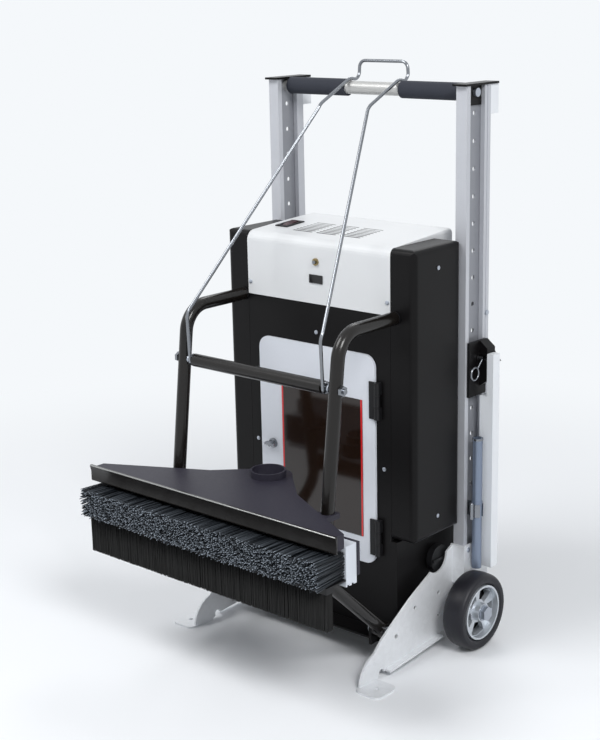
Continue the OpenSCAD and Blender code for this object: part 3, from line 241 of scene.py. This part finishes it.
FINISHES = {
    powder_black: ["cabinet", "front_panel", "base_plate", "side_cover_left", "side_cover_right", "cross_rails",
                   "end_plates", "slide_bracket_left", "slide_bracket_right"],
    enamel_white: ["top_cover"],
    channel_white: ["rest_blocks", "leg_left", "leg_right"],
    enamel_gray: ["door"],
    extruded: ["upright_left", "upright_right", "fan_housing", "vacuum_motor"],
    galvanised: ["foot_left", "foot_right"],
    brushed_tube: ["handle_bar"],
    cast_alu: ["hub_left", "hub_right"],
    zinc: ["axle", "axle_nuts", "cover_screws", "frame_bolts"],
    steel_tube: ["wand"],
    chrome: ["breaker_button", "latch", "pivot_bolts", "cross_rod", "plunger_left", "plunger_right", "bail",
             "wand_clip"],
    foam: ["grip_left", "grip_right"],
    rubber: ["tyre_left", "tyre_right"],
    nylon: ["inlet_collar", "port_cap", "switch_bezel", "hinge_frame", "hinge_leaves", "arm_caps", "skirt_holder"],
    red_plastic: ["rocker"],
    brass: ["breaker_ring"],
    gloss_film: ["door_label"],
    tube_black: ["arm_left", "arm_right", "crossbar"],
    slate: ["hood"],
    strip_rubber: ["lip"],
    block_white: ["brush_block"],
    cloth: ["filter_bag"],
    smoked_acrylic: ["hour_meter"],
    riser_nylon: ["riser_bristles"],
    skirt_nylon: ["skirt_bristles"],
}
for material, names in FINISHES.items():
    for name in names:
        nodes[name].data.materials.clear()
        nodes[name].data.materials.append(material)


def paint_web_shade():
    """The web between an upright's flanges is painted darker: painted shade, as if the front flange shadowed it.

    The web is where X, without its sign, lies near the upright's middle and Y lies between the flanges.
    """
    low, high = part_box("upright_right")
    front_flange, rear_flange = 11 * MM, 19 * MM
    web_reach = 3 * MM
    front, rear = low.y + front_flange, high.y - rear_flange
    tree = extruded.node_tree
    shader = tree.nodes["Principled BSDF"]
    place = add(tree, "ShaderNodeTexCoord")
    part = add(tree, "ShaderNodeSeparateXYZ", [("Vector", place.outputs["Object"])])
    out = add(tree, "ShaderNodeMath", [(0, part.outputs["X"])], operation="ABSOLUTE")
    plane = add(tree, "ShaderNodeMath", [(0, out.outputs[0]), (1, (low.x + high.x) / 2), (2, web_reach)],
                operation="COMPARE")
    depth = add(tree, "ShaderNodeMath", [(0, part.outputs["Y"]), (1, (front + rear) / 2), (2, (rear - front) / 2)],
                operation="COMPARE")
    web = add(tree, "ShaderNodeMath", [(0, plane.outputs[0]), (1, depth.outputs[0])], operation="MULTIPLY")
    bright = shader.inputs["Base Color"].links[0].from_socket
    # 8C8E94 is painted shade on the web, mixed in where the mask finds the web
    hue = add(tree, "ShaderNodeMix", [("Factor", web.outputs[0]), (MIX_A, bright), (MIX_B, linear("#8C8E94"))],
              data_type="RGBA")
    tree.links.new(shader.inputs["Base Color"], hue.outputs[MIX_RESULT])


paint_web_shade()


# New pieces

def piece(name, points, faces, material, body, slot, **attributes):
    """Mesh object at the origin from arrays, riding on a body; attributes are one number a point."""
    mesh = bpy.data.meshes.new(name)
    mesh.from_pydata(points.tolist(), [], faces)
    for key, values in attributes.items():
        mesh.attributes.new(key, "FLOAT", "POINT").data.foreach_set("value", np.ravel(values).astype(np.float32))
    mesh.materials.append(material)
    mesh.shade_smooth()
    made = bpy.data.objects.new(name, mesh)
    scene.collection.objects.link(made)
    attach(made, body)
    return made


def surface(name, points, material, body, slot, hoop=False):
    """Closed mesh from a stack of rings: points[i, j] is ring i's point j, and faces join each ring to the next.

    Each end is closed by a fan to the mean of its ring, unless hoop joins the last ring to the first.
    """
    rings, sides = points.shape[:2]
    ring, side = np.meshgrid(np.arange(rings if hoop else rings - 1), np.arange(sides), indexing="ij")
    after = (side + 1) % sides
    upper = (ring + 1) % rings
    walls = np.stack([ring * sides + side, ring * sides + after, upper * sides + after, upper * sides + side],
                     -1).reshape(-1, 4)
    if hoop:
        return piece(name, points.reshape(-1, 3), walls.tolist(), material, body, slot)
    edge = np.arange(sides)
    after = (edge + 1) % sides
    first, last = rings * sides, rings * sides + 1
    start = np.stack([np.full(sides, first), after, edge], -1)
    end = np.stack([np.full(sides, last), (rings - 1) * sides + edge, (rings - 1) * sides + after], -1)
    points = np.concatenate([points.reshape(-1, 3), points[:1].mean(1), points[-1:].mean(1)])
    return piece(name, points, walls.tolist() + start.tolist() + end.tolist(), material, body, slot)


def middle(node):
    """Middle of a CAD node's box at rest."""
    low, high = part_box(node)
    return (low + high) / 2


def full_turn(count):
    """Angles evenly round a full turn, in radians."""
    return np.linspace(0, 2 * math.pi, count, endpoint=False)


def rounded_square(angle, power):
    """Rounded square of half size 1: cosine and sine, each raised to a power below 1 with its sign kept."""
    across, up = np.cos(angle), np.sin(angle)
    return np.sign(across) * np.abs(across) ** power, np.sign(up) * np.abs(up) ** power


def about_x(x, radius, angle, centre):
    """Points turned about an axis along X: x, with centre + radius (cos, sin) in Y and Z."""
    return np.stack(np.broadcast_arrays(x, centre.y + radius * np.cos(angle), centre.z + radius * np.sin(angle)), -1)


def arc(centre, radius, first, last, count=24):
    """Points of an arc in a plane: centre + radius (cos, sin), from one angle to another in degrees."""
    angle = np.radians(np.linspace(first, last, count))
    return np.asarray(centre) + radius * np.stack([np.cos(angle), np.sin(angle)], -1)


def rounded_corner(before, at, after, radius, count=20):
    """Arc that rounds a corner in a plane: its centre lies on the bisector, at radius / sin(half the angle)."""
    p = (before - at) / np.linalg.norm(before - at)
    q = (after - at) / np.linalg.norm(after - at)
    half = math.acos(float(p @ q)) / 2
    centre = at + (p + q) / np.linalg.norm(p + q) * radius / math.sin(half)
    start = at + p * radius / math.tan(half) - centre
    end = at + q * radius / math.tan(half) - centre
    first = math.degrees(math.atan2(start[1], start[0]))
    turn = (math.degrees(math.atan2(end[1], end[0])) - first + 180) % 360 - 180
    return arc(centre, radius, first, first + turn, count)


def tube(path, radius, sides=20, dome_rings=5):
    """Round section carried along a path: path + radius (cos a n + sin a b), n and b square to the path.

    n is the path's direction crossed with a fixed slanted one that the path never follows. Both ends are domed.
    """
    slant = (1.0, 1.0, 1.0)
    ahead = np.gradient(path, axis=0)
    ahead /= np.linalg.norm(ahead, axis=1, keepdims=True)
    side = np.cross(ahead, slant)
    side /= np.linalg.norm(side, axis=1, keepdims=True)
    other = np.cross(ahead, side)
    angle = full_turn(sides)[None, :, None]
    dome = np.radians(np.linspace(80, 10, dome_rings))
    centres = np.concatenate([path[0] - ahead[0] * radius * np.sin(dome)[:, None], path,
                              path[-1] + ahead[-1] * radius * np.sin(dome[::-1])[:, None]])
    widths = radius * np.concatenate([np.cos(dome), np.ones(len(path)), np.cos(dome[::-1])])
    rows = np.concatenate([np.zeros(dome_rings, int), np.arange(len(path)), np.full(dome_rings, len(path) - 1)])
    n, b = side[rows, None], other[rows, None]
    return centres[:, None] + widths[:, None, None] * (np.cos(angle) * n + np.sin(angle) * b)


def bail_wire():
    """The bail as one bent wire: an eye wound round each pivot, two bends, a hook over the bar, and a finger loop.

    Its side view is a chain of arcs in Y and Z; X runs in straight stretches between the bends.
    """
    rod, handle = middle("cross_rod"), middle("handle_bar")
    pivot, bar = np.array([rod.y, rod.z]), np.array([handle.y, handle.z])
    bend = pivot + np.array([-12, 90]) * MM
    neck = bar + np.array([-92, -25]) * MM
    wire = 3.25 * MM
    eye_radius, bend_radius, hook_radius, loop_corner = 8.5 * MM, 30 * MM, 17.15 * MM, 14 * MM
    eye_x, leg_x, hook_x, loop_x = 165.5 * MM, 165 * MM, 59.5 * MM, 59 * MM
    eye_start, eye_end, hook_end = 450, 180, 80
    loop_back, loop_rise = 26 * MM, 50 * MM
    eye_points, corner_points, path_points = 48, 12, 900
    to_bar = bar - neck
    lean = math.atan2(to_bar[1], to_bar[0]) + math.asin(hook_radius / np.linalg.norm(to_bar))
    rise = np.array([math.cos(lean), math.sin(lean)])
    eye = arc(pivot, eye_radius, eye_start, eye_end, eye_points)
    over = arc(bar, hook_radius, 90 + math.degrees(lean), hook_end)
    back = bar[0] + loop_back
    corner_y = back - loop_corner
    fall = (corner_y - over[-1, 0]) / math.tan(math.radians(hook_end))
    loop = arc((corner_y, over[-1, 1] - fall + loop_corner), loop_corner, -90, 0, corner_points)
    side_view = [(eye, eye_x), (rounded_corner(eye[-1], bend, neck, bend_radius), leg_x),
                 (rounded_corner(bend, neck, neck + rise, bend_radius), hook_x), (over, hook_x), (loop, hook_x)]
    top = arc((loop_x - loop_corner, bar[1] + loop_rise - loop_corner), loop_corner, 0, 90, corner_points)
    half = np.concatenate([np.insert(bent, 0, x, axis=1) for bent, x in side_view] + [np.insert(top, 1, back, axis=1)])
    path = np.concatenate([half, half[::-1] * [-1, 1, 1]])
    run = np.concatenate([[0], np.cumsum(np.linalg.norm(np.diff(path, axis=0), axis=1))])
    even = np.linspace(0, run[-1], path_points)
    path = np.stack([np.interp(even, run, along) for along in path.T], 1)
    made = surface("bail_wire", tube(path, wire), chrome, "bail", "bright_chrome")
    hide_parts("bail")


def eye_nuts():
    """A domed nut between each eye of the bail and its arm: a radius that falls off as a quarter circle along X."""
    arm_face = 175.3 * MM
    length, rim, bore = 6 * MM, 8.2 * MM, 5.1 * MM
    share = np.linspace(0, 1, 12)
    radius = bore + (rim - bore) * np.sqrt(1 - share ** 2)
    x = arm_face - length * share
    profile = np.concatenate([[[arm_face, bore]], np.stack([x, radius], 1)])[::-1]
    for name, rows in (("eye_nut_right", profile), ("eye_nut_left", profile[::-1] * [-1, 1])):
        rings = about_x(rows[:, :1], rows[:, 1:], full_turn(32), middle("cross_rod"))
        surface(name, rings, zinc, "head", "bright_chrome")


def turned_hoop(name, x, radius, sign, centre, material, body, slot):
    """Closed profile in X and radius, turned about an axle; on the left it is mirrored and its order reversed."""
    if sign < 0:
        x, radius = -x[::-1], radius[::-1]
    return surface(name, about_x(x, radius, full_turn(128)[:, None], centre), material, body, slot, hoop=True)


def wheels():
    """Tyres, and dark discs that paint shade in the hubs' windows, as turned hoops.

    A tyre's outline is a rounded rectangle, with a mould line round the tread and a groove by the rim that follow bell
    curves. A shade disc is a flat black ring behind the hub's windows: painted shade where the hub's hollow shows
    through.
    """
    wide, rim = 46 * MM, 54.2 * MM
    squareness = 3.4
    line_proud, line_share = 0.5 * MM, 0.05
    groove_deep, groove_half, groove_out = 0.8 * MM, 1.2 * MM, 5 * MM
    shade_disc_sink, shade_disc_thick, shade_disc_bore, shade_disc_rim = 32 * MM, 2 * MM, 22 * MM, 49.7 * MM
    u, v = rounded_square(full_turn(96), 2 / squareness)
    tread_from, wall_from = 0.5, 0.8
    tread, wall = v > tread_from, np.abs(u) > wall_from
    for side, sign in (("right", 1), ("left", -1)):
        low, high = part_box("tyre_" + side)
        centre = middle("tyre_" + side)
        outer = (high.z - low.z) / 2
        face = high.x if sign > 0 else -low.x
        radius = (outer + rim) / 2 + v * (outer - rim) / 2
        radius = radius - line_proud * (1 - np.exp(-(u / line_share) ** 2)) * tread
        groove = groove_deep * np.exp(-((radius - rim - groove_out) / groove_half) ** 2) * wall
        x = face - wide / 2 + u * wide / 2 - np.sign(u) * groove
        made = turned_hoop("tyre_tread_" + side, x, radius, sign, centre, rubber, "wheel_" + side, "tyre_rubber")
        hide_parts("tyre_" + side)
        # Black ring behind the hub's windows: painted shade
        shade_disc_x = face - shade_disc_sink - shade_disc_thick * np.array([1, 0, 0, 1])
        shade_disc_radius = np.array([shade_disc_bore, shade_disc_bore, shade_disc_rim, shade_disc_rim])
        shade_disc = turned_hoop("hub_window_shade_" + side, shade_disc_x, shade_disc_radius, sign, centre, nylon, "wheel_" + side,
                           "black_plastic")
        shade_disc.data.shade_flat()


def wand_trim():
    """Bright rim on the wand's top, a squared section in radius and Z turned as a hoop, and a clasp beside the clip."""
    low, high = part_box("wand")
    clip_low, clip_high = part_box("wand_clip")
    centre = middle("wand")
    outer = (high.x - low.x) / 2
    proud, rim_half, rim_tall, corner = 0.1 * MM, 1 * MM, 2.3 * MM, 0.3
    u, v = rounded_square(full_turn(24), corner)
    turn = -full_turn(48)[:, None]
    radius = outer + proud - rim_half + rim_half * u
    z = high.z + proud - rim_tall + rim_tall * v
    rings = np.stack(np.broadcast_arrays(centre.x + radius * np.cos(turn), centre.y + radius * np.sin(turn), z), -1)
    surface("wand_rim", rings, chrome, "wand", "bright_chrome", hoop=True)
    barrel, past_clip, sunk, aside = 4.5 * MM, 1 * MM, 0.5 * MM, 2 * MM
    ends = np.array([clip_low.z - past_clip, clip_high.z + past_clip])
    path = np.stack(np.broadcast_arrays(centre.x - aside, clip_low.y - barrel + sunk, ends), -1)
    surface("wand_clasp", tube(path, barrel), chrome, "chassis", "bright_chrome")


def vent_shade_bars():
    """Painted shade in the cover's slots: three rows of eight flat near-black bars, each half a millimetre below the
    sloping top.
    """
    low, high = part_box("top_cover")
    rows, row_pitch, first_row = 3, 59 * MM, -98 * MM
    slots, slot_pitch, first_slot = 8, 10 * MM, 47 * MM
    slot_long, slot_wide = 48 * MM, 3 * MM
    top_fall = 11 * MM
    sink, thick, gap = 0.5 * MM, 1 * MM, 0.1 * MM
    row, slot = np.meshgrid(np.arange(rows), np.arange(slots), indexing="ij")
    x = first_row + row.reshape(-1, 1) * row_pitch + np.array([gap, slot_long - gap])
    y = low.y + first_slot + slot.reshape(-1, 1) * slot_pitch + np.array([gap, slot_wide - gap])
    top = high.z - top_fall * (high.y - y) / (high.y - low.y) - sink
    corner = np.array([[0, 0], [1, 0], [1, 1], [0, 1]])
    flat = np.stack([x[:, corner[:, 0]], y[:, corner[:, 1]], top[:, corner[:, 1]]], -1)
    points = np.stack([flat - [0, 0, thick], flat], 1).reshape(-1, 3)
    box = np.array([[3, 2, 1, 0], [4, 5, 6, 7], [0, 1, 5, 4], [1, 2, 6, 5], [2, 3, 7, 6], [3, 0, 4, 7]])
    faces = (np.arange(len(x))[:, None, None] * 2 * len(corner) + box).reshape(-1, 4).tolist()
    # Near-black bars in the slots: painted shade
    made = piece("vent_shade_bars", points, faces, slot_shade, "chassis", "black_plastic")
    made.data.shade_flat()


def lip_strip():
    """Rubber strip along the hood's front, one profile in Y and Z carried along X, and a painted highlight along its
    top edge.

    The profile has a flat land on top with rounded edges, a front face hollowed as a power of a sine, and a blunt
    lower edge. It is drawn in a little at both ends. The painted highlight is a thin bright metal tube along the land's
    front.
    """
    low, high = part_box("lip")
    bead, land = 1.2 * MM, 3.4 * MM
    hollow, hollow_power = 1.8 * MM, 0.8
    foot_back, foot_rise, foot_radius = 2.6 * MM, 1.6 * MM, 1.5 * MM
    back_drop = 2.2 * MM
    end_long, end_scale = 0.4 * MM, 0.97
    highlight_proud = 0.1 * MM
    bead_y, bead_z = low.y + bead, high.z - bead
    top = np.concatenate([arc((bead_y + land, bead_z), bead, 0, 90, 6), arc((bead_y, bead_z), bead, 90, 190, 7)])
    foot_front = np.array([low.y + foot_back, low.z + foot_rise])
    share = np.linspace(0, 1, 16)
    face = top[-1] + (foot_front - top[-1]) * share[:, None]
    face[:, 0] += hollow * np.sin(math.pi * share) ** hollow_power
    foot = arc((foot_front[0] + foot_radius, low.z + foot_radius), foot_radius, 180, 270, 5)
    back = np.array([[high.y, low.z], [high.y, high.z - back_drop]])
    profile = np.concatenate([top, face[1:-1], foot, back])
    x = np.array([low.x, low.x + end_long, high.x - end_long, high.x])
    scale = np.array([end_scale, 1, 1, end_scale])
    heart = profile.mean(0)
    rings = np.concatenate([np.broadcast_to(x[:, None, None], (len(x), len(profile), 1)),
                            heart + (profile - heart) * scale[:, None, None]], 2)
    made = surface("lip_strip", rings, strip_rubber, "head", "black_plastic")
    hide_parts("lip")
    # Bright metal tube on the land's front edge: a painted highlight
    edge = np.stack(np.broadcast_arrays([low.x + bead, high.x - bead], bead_y, bead_z), -1)
    surface("lip_highlight_line", tube(edge, bead + highlight_proud), lip_highlight_metal, "head", "bright_chrome")


def strands(name, roots, tips, thick, material, body, slot, rng):
    """Bristles: six-sided strands, straight from root to tip, that narrow just before their cut ends.

    A point at share t of a strand is root + (tip - root) t plus the section's corner, which shrinks at the tip. along
    is how far its colour has gone to the tip's, most of it at the very end: painted shade along the roots and sides,
    and a painted highlight on the cut end. shade is the strand's own darkness.
    """
    sides = 6
    share = np.array([0.0, 0.975, 1.0])
    width = np.array([1.0, 1.0, 0.6]) * thick / 2
    painted_tip_light = np.array([0.02, 0.2, 1.0])
    thinnest, thickest = 0.85, 1.1
    count, rings = len(roots), len(share)
    run = tips - roots
    centre = roots[:, None] + run[:, None] * share[None, :, None]
    ahead = run / np.linalg.norm(run, axis=1, keepdims=True)
    sideways = np.cross(ahead, [1.0, 0.0, 0.0])
    sideways /= np.linalg.norm(sideways, axis=1, keepdims=True)
    other = np.cross(ahead, sideways)
    angle = rng.uniform(0, 2 * math.pi, count)[:, None] + full_turn(sides)
    corner = np.cos(angle)[..., None] * sideways[:, None] + np.sin(angle)[..., None] * other[:, None]
    own_width = width[None] * rng.uniform(thinnest, thickest, (count, 1))
    points = centre[:, :, None] + corner[:, None] * own_width[:, :, None, None]
    start = (np.arange(count) * rings * sides)[:, None, None]
    ring = (np.arange(rings - 1) * sides)[None, :, None]
    side = np.arange(sides)[None, None, :]
    after = (side + 1) % sides
    walls = np.stack([start + ring + side, start + ring + after, start + ring + sides + after,
                      start + ring + sides + side], -1)
    feet = start[:, :, 0] + np.arange(sides)[None, ::-1]
    ends = start[:, :, 0] + (rings - 1) * sides + np.arange(sides)[None]
    faces = walls.reshape(-1, 4).tolist() + feet.tolist() + ends.tolist()
    # along paints shade on the roots and sides and a highlight on the cut ends
    along = np.broadcast_to(painted_tip_light[None, :, None], (count, rings, sides))
    dark = rng.uniform(0, 1, count)
    dark = dark ** 2 * (3 - 2 * dark)
    shade = np.broadcast_to(dark[:, None, None], (count, rings, sides))
    return piece(name, points.reshape(-1, 3), faces, material, body, slot, along=along, shade=shade)


def jittered(low, high, columns, rows, rng, loose=0.4):
    """A staggered grid of columns by rows between two corners in a plane, each point moved by a share of its cell."""
    stagger = 0.5
    u, v = np.meshgrid((np.arange(columns) + 0.5) / columns, (np.arange(rows) + 0.5) / rows)
    u = u + (np.arange(rows) % 2 - 0.5)[:, None] * stagger / columns + rng.uniform(-loose, loose, u.shape) / columns
    v = v + rng.uniform(-loose, loose, v.shape) / rows
    return low[0] + (high[0] - low[0]) * u.ravel(), low[1] + (high[1] - low[1]) * v.ravel()


def riser_brush():
    """Gray bristles that point forward from the brush block and fan out a little at the tips.

    A tip is its root moved forward by nearly all of the field's depth, sideways by a normal spread, and up or down by
    its root's height in the field.
    """
    rng = np.random.default_rng(4)
    low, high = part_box("riser_bristles")
    columns, rows, thick = 232, 19, 1.7 * MM
    side_margin, top_margin, root_in = 2 * MM, 1 * MM, 1 * MM
    shortest, longest = 0.93, 0.99
    stray, fan, droop = 1.8 * MM, 6 * MM, 2 * MM
    x, z = jittered((low.x + side_margin, low.z + top_margin), (high.x - side_margin, high.z - top_margin),
                    columns, rows, rng)
    roots = np.stack([x, np.full_like(x, high.y - root_in), z], 1)
    reach = (high.y - low.y) * rng.uniform(shortest, longest, len(x))
    spread = rng.normal(0, stray, (len(x), 2))
    share = (z - low.z) / (high.z - low.z)
    tips = np.stack([np.clip(x + spread[:, 0], low.x, high.x), high.y - reach,
                     z + spread[:, 1] + (share - 0.5) * fan - droop], 1)
    made = strands("riser_brush", roots, tips, thick, riser_nylon, "head", "gray_bristle", rng)
    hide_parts("riser_bristles")


def tread_skirt():
    """A dense black curtain of bristles with a straight trimmed edge.

    A tip is its root moved down by nearly all of the field's height, and aside by a small normal spread.
    """
    rng = np.random.default_rng(9)
    low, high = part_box("skirt_bristles")
    columns, rows, thick = 300, 10, 2.0 * MM
    margin, root_in = 1 * MM, 0.5 * MM
    shortest, longest = 0.985, 0.998
    stray = 0.6 * MM
    x, y = jittered((low.x + margin, low.y + margin), (high.x - margin, high.y - margin), columns, rows, rng)
    roots = np.stack([x, y, np.full_like(x, high.z - root_in)], 1)
    drop = (high.z - low.z) * rng.uniform(shortest, longest, len(x))
    spread = rng.normal(0, stray, (len(x), 2))
    tips = np.stack([np.clip(x + spread[:, 0], low.x, high.x), y + spread[:, 1], high.z - drop], 1)
    made = strands("tread_skirt", roots, tips, thick, skirt_nylon, "head", "black_bristle", rng)
    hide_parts("skirt_bristles")


def bag_shell():
    """Filter bag that hangs from its neck: an oval section carried up Z, fullest in its lower third, where it sags.

    At share t of the height, half the width is the neck's radius plus the rest of the full width times a fullness,
    which falls to the neck as a cosine; half the depth likewise. The bottom rounds in, the cloth gathers under the
    neck, long folds wander round the sides, a seam stands proud at each side, and a hem runs round the neck.
    """
    low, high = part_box("filter_bag")
    centre = middle("filter_bag")
    neck, hem, seam = 28.5 * MM, 1.2 * MM, 1.5 * MM
    slack, thinning = 0.95, 0.15
    # Places up the bag and how far they reach, as shares of its height
    bottom, sag, shoulder, gather_at, collar, hem_at = 0.14, 0.3, 0.6, 0.84, 0.93, 0.97
    gather_reach, hem_reach, seam_reach = 0.09, 0.009, 0.04
    gather_count, gather_deep = 26, 0.06
    fold_count, fold_deep, fold_least, fold_wander, fold_waves = 9, 0.035, 0.4, 3, 4
    roundness, curl_start = 2.5, 0.15
    curl = bottom * (1 - np.cos(np.linspace(curl_start, math.pi / 2, 14)))
    t = np.concatenate([curl, np.linspace(bottom, 1, 64)[1:]])[:, None]
    angle = full_turn(288)
    foot = (1 - np.clip(1 - t / bottom, 0, 1) ** roundness) ** (1 / roundness)
    fall = np.clip((t - shoulder) / (collar - shoulder), 0, 1)
    full = (1 + np.cos(math.pi * fall)) / 2 * (1 - thinning * np.clip(t - sag, 0, 1))
    folds = fold_deep * np.sin(fold_count * angle + fold_wander * np.sin(fold_waves * t))
    folds = folds * (1 - fall) * (fold_least + (1 - fold_least) * t)
    gathers = gather_deep * np.cos(gather_count * angle) * np.exp(-((t - gather_at) / gather_reach) ** 2)
    band = hem * np.exp(-((t - hem_at) / hem_reach) ** 4)
    u, v = rounded_square(angle, 2 / (2 + full))
    grown = foot * (1 + folds + gathers)
    wide = (neck + (slack * (high.x - low.x) / 2 - neck) * full) * grown + band
    deep = (neck + (slack * (high.y - low.y) / 2 - neck) * full) * grown + band
    ridge = seam * np.exp(-(np.sin(angle) / seam_reach) ** 2) * foot * full
    rings = np.stack(np.broadcast_arrays(centre.x + wide * u + np.sign(u) * ridge, centre.y + deep * v,
                                         low.z + (high.z - low.z) * t), -1)
    made = surface("bag_shell", rings, cloth, "chassis", "bag_cloth")
    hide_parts("filter_bag")


def stripes():
    """Two plain red stripes along the sides of the door's glossy panel: a flat section in X and Y carried along Z."""
    low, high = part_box("door_label")
    width, proud = 4 * MM, 0.15 * MM
    z = np.array([low.z, high.z])
    for name, x in (("stripe_left", low.x), ("stripe_right", high.x - width)):
        section = np.array([[x, low.y - proud], [x + width, low.y - proud], [x + width, low.y], [x, low.y]])
        rings = np.concatenate([np.broadcast_to(section, (2, 4, 2)), np.broadcast_to(z[:, None, None], (2, 4, 1))], 2)
        made = surface(name, rings, red_print, "door", "gloss_label")
        made.data.shade_flat()


bail_wire()
eye_nuts()
wheels()
wand_trim()
vent_shade_bars()
lip_strip()
riser_brush()
tread_skirt()
bag_shell()
stripes()


# Light and floor

BACKDROP = linear("#F5F8FB")
ROOM_LIGHT, ROOM_SEEN = 0.4, 1.0


def lamp(name, place, target, size, watts):
    """A square white soft box at a place, turned to a target."""
    data = bpy.data.lights.new(name, "AREA")
    data.shape = "SQUARE"
    data.size = size
    data.energy = watts
    made = bpy.data.objects.new(name, data)
    turn = (Vector(place) - Vector(target)).to_track_quat("Z", "Y")
    made.matrix_world = Matrix.Translation(place) @ turn.to_matrix().to_4x4()
    scene.collection.objects.link(made)


def seen_ray(tree):
    """One where a ray comes from the camera, a mirror or a glass, and none elsewhere."""
    ray = add(tree, "ShaderNodeLightPath")
    mirror = add(tree, "ShaderNodeMath", [(0, ray.outputs["Is Camera Ray"]), (1, ray.outputs["Is Glossy Ray"])],
                 operation="MAXIMUM")
    seen = add(tree, "ShaderNodeMath", [(0, mirror.outputs[0]), (1, ray.outputs["Is Transmission Ray"])],
               operation="MAXIMUM")
    return seen.outputs[0]


def pale_room():
    """An even pale room: white where it is seen or mirrored, and a weaker light on the object."""
    sky = bpy.data.worlds.new("studio")
    sky.use_nodes = True
    scene.world = sky
    tree = sky.node_tree
    strength = add(tree, "ShaderNodeMapRange", [("Value", seen_ray(tree))], To_Min=ROOM_LIGHT, To_Max=ROOM_SEEN)
    room = tree.nodes["Background"]
    tree.links.new(room.inputs["Strength"], strength.outputs["Result"])
    room.inputs["Color"].default_value = BACKDROP


def pale_floor():
    """Pale matt floor that runs out into the backdrop's colour away from the object, so that no horizon shows."""
    half = 20.0
    clear, gone = 0.7, 2.1
    material = finish("pale_floor", "#F3F5F8", 0.9, grain_mm=300, bump=0.0, tint=0.01, specular=0.0)
    tree = material.node_tree
    place = add(tree, "ShaderNodeTexCoord")
    far = add(tree, "ShaderNodeVectorMath", [(0, place.outputs["Object"])], operation="LENGTH")
    fade = add(tree, "ShaderNodeMapRange", [("Value", far.outputs["Value"])], interpolation_type="SMOOTHSTEP",
               From_Min=clear, From_Max=gone)
    share = add(tree, "ShaderNodeMath", [(0, fade.outputs["Result"]), (1, seen_ray(tree))], operation="MULTIPLY")
    glow = add(tree, "ShaderNodeEmission", Color=BACKDROP)
    shader = tree.nodes["Principled BSDF"]
    both = add(tree, "ShaderNodeMixShader", [(0, share.outputs[0]), (1, shader.outputs[0]), (2, glow.outputs[0])])
    tree.links.new(tree.nodes["Material Output"].inputs["Surface"], both.outputs[0])
    mesh = bpy.data.meshes.new("floor")
    mesh.from_pydata([(-half, -half, 0), (half, -half, 0), (half, half, 0), (-half, half, 0)], [], [(0, 1, 2, 3)])
    mesh.materials.append(material)
    floor = bpy.data.objects.new("floor", mesh)
    scene.collection.objects.link(floor)


# Soft boxes: place and target in metres, width of the square, watts
lamp("key", (-1.3, -2.2, 3.6), (0, 0, 0.6), 1.8, 78)
lamp("side", (3.0, -1.6, 3.2), (0, 0, 0.6), 1.4, 102)
lamp("back", (-1.0, 2.2, 3.2), (0, 0, 0.8), 1.4, 20)
pale_room()
pale_floor()

scene.view_settings.view_transform = "Standard"
